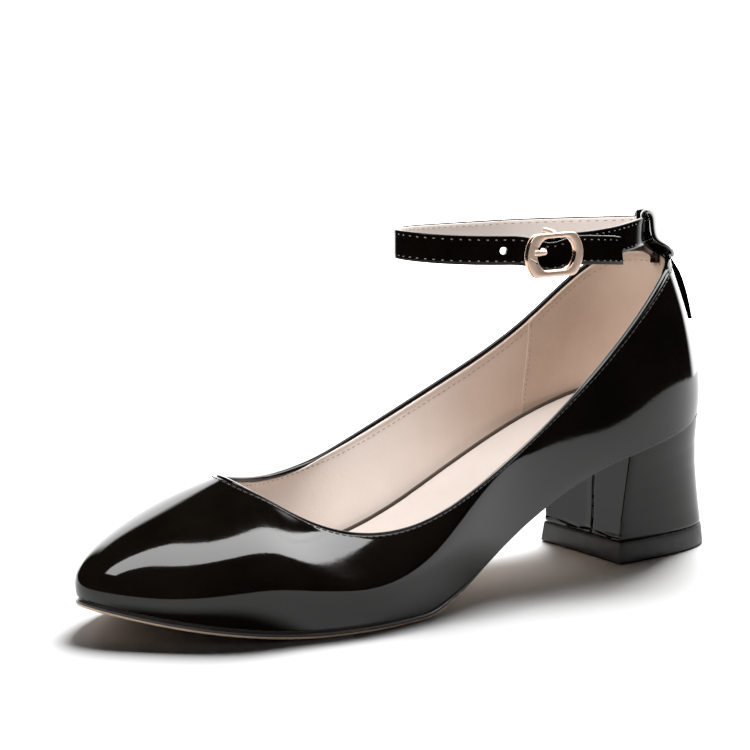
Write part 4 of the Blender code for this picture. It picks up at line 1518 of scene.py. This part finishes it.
def build_strap():
    skin, lining = make_strap()
    unmirrored(dress(skin, PATENT_STRAP, "ankle_strap"))
    unmirrored(dress(lining, STRAP_LINING))
    angle, depth, _ = STRAP_PATH.T
    inside = (np.abs(depth) < SINGLE_LAYER) & (angle > INNER_ROW_START)
    for name, side in STRAP_ROWS:
        share = side * (0.5 - STRAP_STITCH_IN / STRAP_WIDE)
        points, offsets = strap_line(share, STRAP_THICK / 2)
        normals = unit(offsets)
        outer_row = stitch_row("strap_stitches_" + name, points + offsets, normals, STRAP_STITCH)
        dress(outer_row, THREAD_PALE)
        inner_row = stitch_row("strap_inner_stitches_" + name, (points - offsets)[inside],
                               -normals[inside], STRAP_INNER_STITCH)
        dress(inner_row, THREAD_NUDE)


# Faces of the frame that turn further from its front than this have the side's darker tone: painted
# shade where the sides mirror the dark studio
FACE_LIMIT = 0.86


def build_buckle():
    frame_piece = unmirrored(dress(make_buckle(), ROSE_GOLD, "buckle_frame"))
    frame_piece.data.materials.append(ROSE_GOLD_SHADED_SIDE)
    face_way = Vector(BUCKLE[:3, 2])
    for polygon in frame_piece.data.polygons:
        # Painted shade: the frame's side faces get the darker copy of the metal
        polygon.material_index = int(polygon.normal.dot(face_way) < FACE_LIMIT)
    unmirrored(dress(make_bar(), ROSE_GOLD))
    unmirrored(dress(make_prong(), ROSE_GOLD, "buckle_prong"))


def build_loop():
    dress(make_loop(), PATENT_STRAP, "heel_loop")
    for name, side in TAIL_SIDES:
        dress(make_tail(name, side), PATENT_STRAP, name)
    dress(make_pinch_thread(), THREAD_BLACK)
    for index in range(len(THREAD_END_SETS)):
        dress(make_thread_end(index), THREAD_BLACK)


# Studio

AIM = Vector((-0.0034, -0.0115, 0.0700))
CAMERA_AT = Vector((1.0285, -0.7599, 0.3256))
LENS = 196.9
SENSOR = 36.0
SIGHT = 20.0
TOWARD = Vector((0.8096, -0.5871, 0.0))
RIGHT = Vector((0.5871, 0.8096, 0.0))
UP = Vector((0.0, 0.0, 1.0))
FLOOR_RADIUS = 0.37
FLOOR_SIDES = 96
FLOOR_UP = -0.0002
FLOOR_AT = AIM - TOWARD * 0.07 + RIGHT * 0.09
FLOOR_TONES = ((0.3, (0.595, 0.595, 0.595)), (0.7, (0.61, 0.61, 0.61)))
# White wall behind the shoe: how far each side of its image eases from none to full
WALL_WHITE = 3.9
WALL_BEHIND = (0.45, 0.6)
WALL_LOW = (0.68, 0.58)
WALL_NOT_LEFT = (-0.6, -0.42)
WALL_NOT_RIGHT = (0.74, 0.6)
STUDIO_DIM = 0.012
# The floor has a light of its own from behind, so that the shadow falls forward
Lamp = namedtuple("Lamp", "name at aim size watts mirrored on_floor")
LAMPS = (
    Lamp("soft_back", AIM - TOWARD * 0.7 + RIGHT * 0.4 + UP, AIM, (0.8, 0.8), 6.0, False, "EXCLUDE"),
    Lamp("soft_front", AIM + TOWARD * 0.9 - RIGHT * 0.5 + UP * 0.8, AIM, (0.9, 0.9), 11.5, False,
         "EXCLUDE"),
    Lamp("overhead_strip", Vector((0.0, 0.185, 1.0)), Vector((0.0, 0.185, 0.0)), (0.3, 2.87), 24.0, True,
         "EXCLUDE"),
    Lamp("floor_back", AIM - TOWARD * 0.7 + RIGHT * 0.2 + UP, AIM, (0.6, 0.6), 46.0, False, "INCLUDE"),
)


def aim(thing, location, target):
    """Put a camera or lamp into the scene, turned to a target."""
    bpy.context.scene.collection.objects.link(thing)
    thing.location = location
    thing.rotation_euler = (target - location).to_track_quat("-Z", "Y").to_euler()


def add_camera():
    data = bpy.data.cameras.new("photo_camera")
    data.lens = LENS
    data.sensor_width = SENSOR
    data.clip_end = SIGHT
    camera = bpy.data.objects.new("photo_camera", data)
    aim(camera, CAMERA_AT, AIM)
    bpy.context.scene.camera = camera


def add_floor():
    """Matt white disc under the shoe."""
    bpy.ops.object.select_all(action="DESELECT")
    bpy.ops.mesh.primitive_circle_add(vertices=FLOOR_SIDES, radius=FLOOR_RADIUS, fill_type="NGON",
                                      location=(FLOOR_AT.x, FLOOR_AT.y, FLOOR_UP))
    floor = bpy.context.active_object
    floor.name = "studio_floor"
    finish = Finish("floor_white", Roughness=0.9, Specular_IOR_Level=0.0)
    finish.colour(finish.ramp(finish.noise(4.0, 2.0), *FLOOR_TONES))
    floor.data.materials.append(finish.material)
    return floor


def add_lamp(lamp, floor):
    """Area light that leaves the floor out, or lights it alone."""
    data = bpy.data.lights.new(lamp.name, "AREA")
    data.shape = "RECTANGLE"
    data.size, data.size_y = lamp.size
    data.energy = lamp.watts
    light = bpy.data.objects.new(lamp.name, data)
    aim(light, lamp.at, lamp.aim)
    light.visible_glossy = lamp.mirrored
    group = bpy.data.collections.new(lamp.name + "_reach")
    group.objects.link(floor)
    light.light_linking.receiver_collection = group
    group.collection_objects[0].light_linking.link_state = lamp.on_floor


def add_world():
    """White studio behind the shoe, dark in front of it and above."""
    world = bpy.data.worlds.new("studio")
    bpy.context.scene.world = world
    world.use_nodes = True
    tree = world.node_tree
    background = tree.nodes["Background"]
    path = tree.nodes.new("ShaderNodeLightPath")
    coords = tree.nodes.new("ShaderNodeTexCoord").outputs["Generated"]

    def math_node(kind, a, b):
        node = tree.nodes.new("ShaderNodeMath")
        node.operation = kind
        for socket, value in zip(node.inputs, (a, b)):
            if isinstance(value, (int, float)):
                socket.default_value = value
            else:
                tree.links.new(value, socket)
        return node.outputs[0]

    def ease_along(direction, limits):
        """0 to 1 between two limits of how far a view runs along a direction."""
        along = tree.nodes.new("ShaderNodeVectorMath")
        along.operation = "DOT_PRODUCT"
        tree.links.new(coords, along.inputs[0])
        along.inputs[1].default_value = direction
        node = tree.nodes.new("ShaderNodeMapRange")
        node.interpolation_type = "SMOOTHSTEP"
        node.inputs["From Min"].default_value, node.inputs["From Max"].default_value = limits
        tree.links.new(along.outputs["Value"], node.inputs["Value"])
        return node.outputs["Result"]

    wall = ease_along(-TOWARD, WALL_BEHIND)
    for direction, limits in ((UP, WALL_LOW), (RIGHT, WALL_NOT_LEFT), (RIGHT, WALL_NOT_RIGHT)):
        wall = math_node("MULTIPLY", wall, ease_along(direction, limits))
    light = math_node("ADD", math_node("MULTIPLY", wall, WALL_WHITE), STUDIO_DIM)
    strength = math_node("MAXIMUM", light, path.outputs["Is Camera Ray"])
    tree.links.new(strength, background.inputs["Strength"])
    background.inputs["Color"].default_value = (1.0, 1.0, 1.0, 1.0)


def add_studio():
    add_world()
    floor = add_floor()
    for lamp in LAMPS:
        add_lamp(lamp, floor)
    view = bpy.context.scene.view_settings
    view.view_transform = "Standard"
    view.look = "None"


add_camera()
build_upper()
build_sole()
build_heel()
build_strap()
build_buckle()
build_loop()
add_studio()
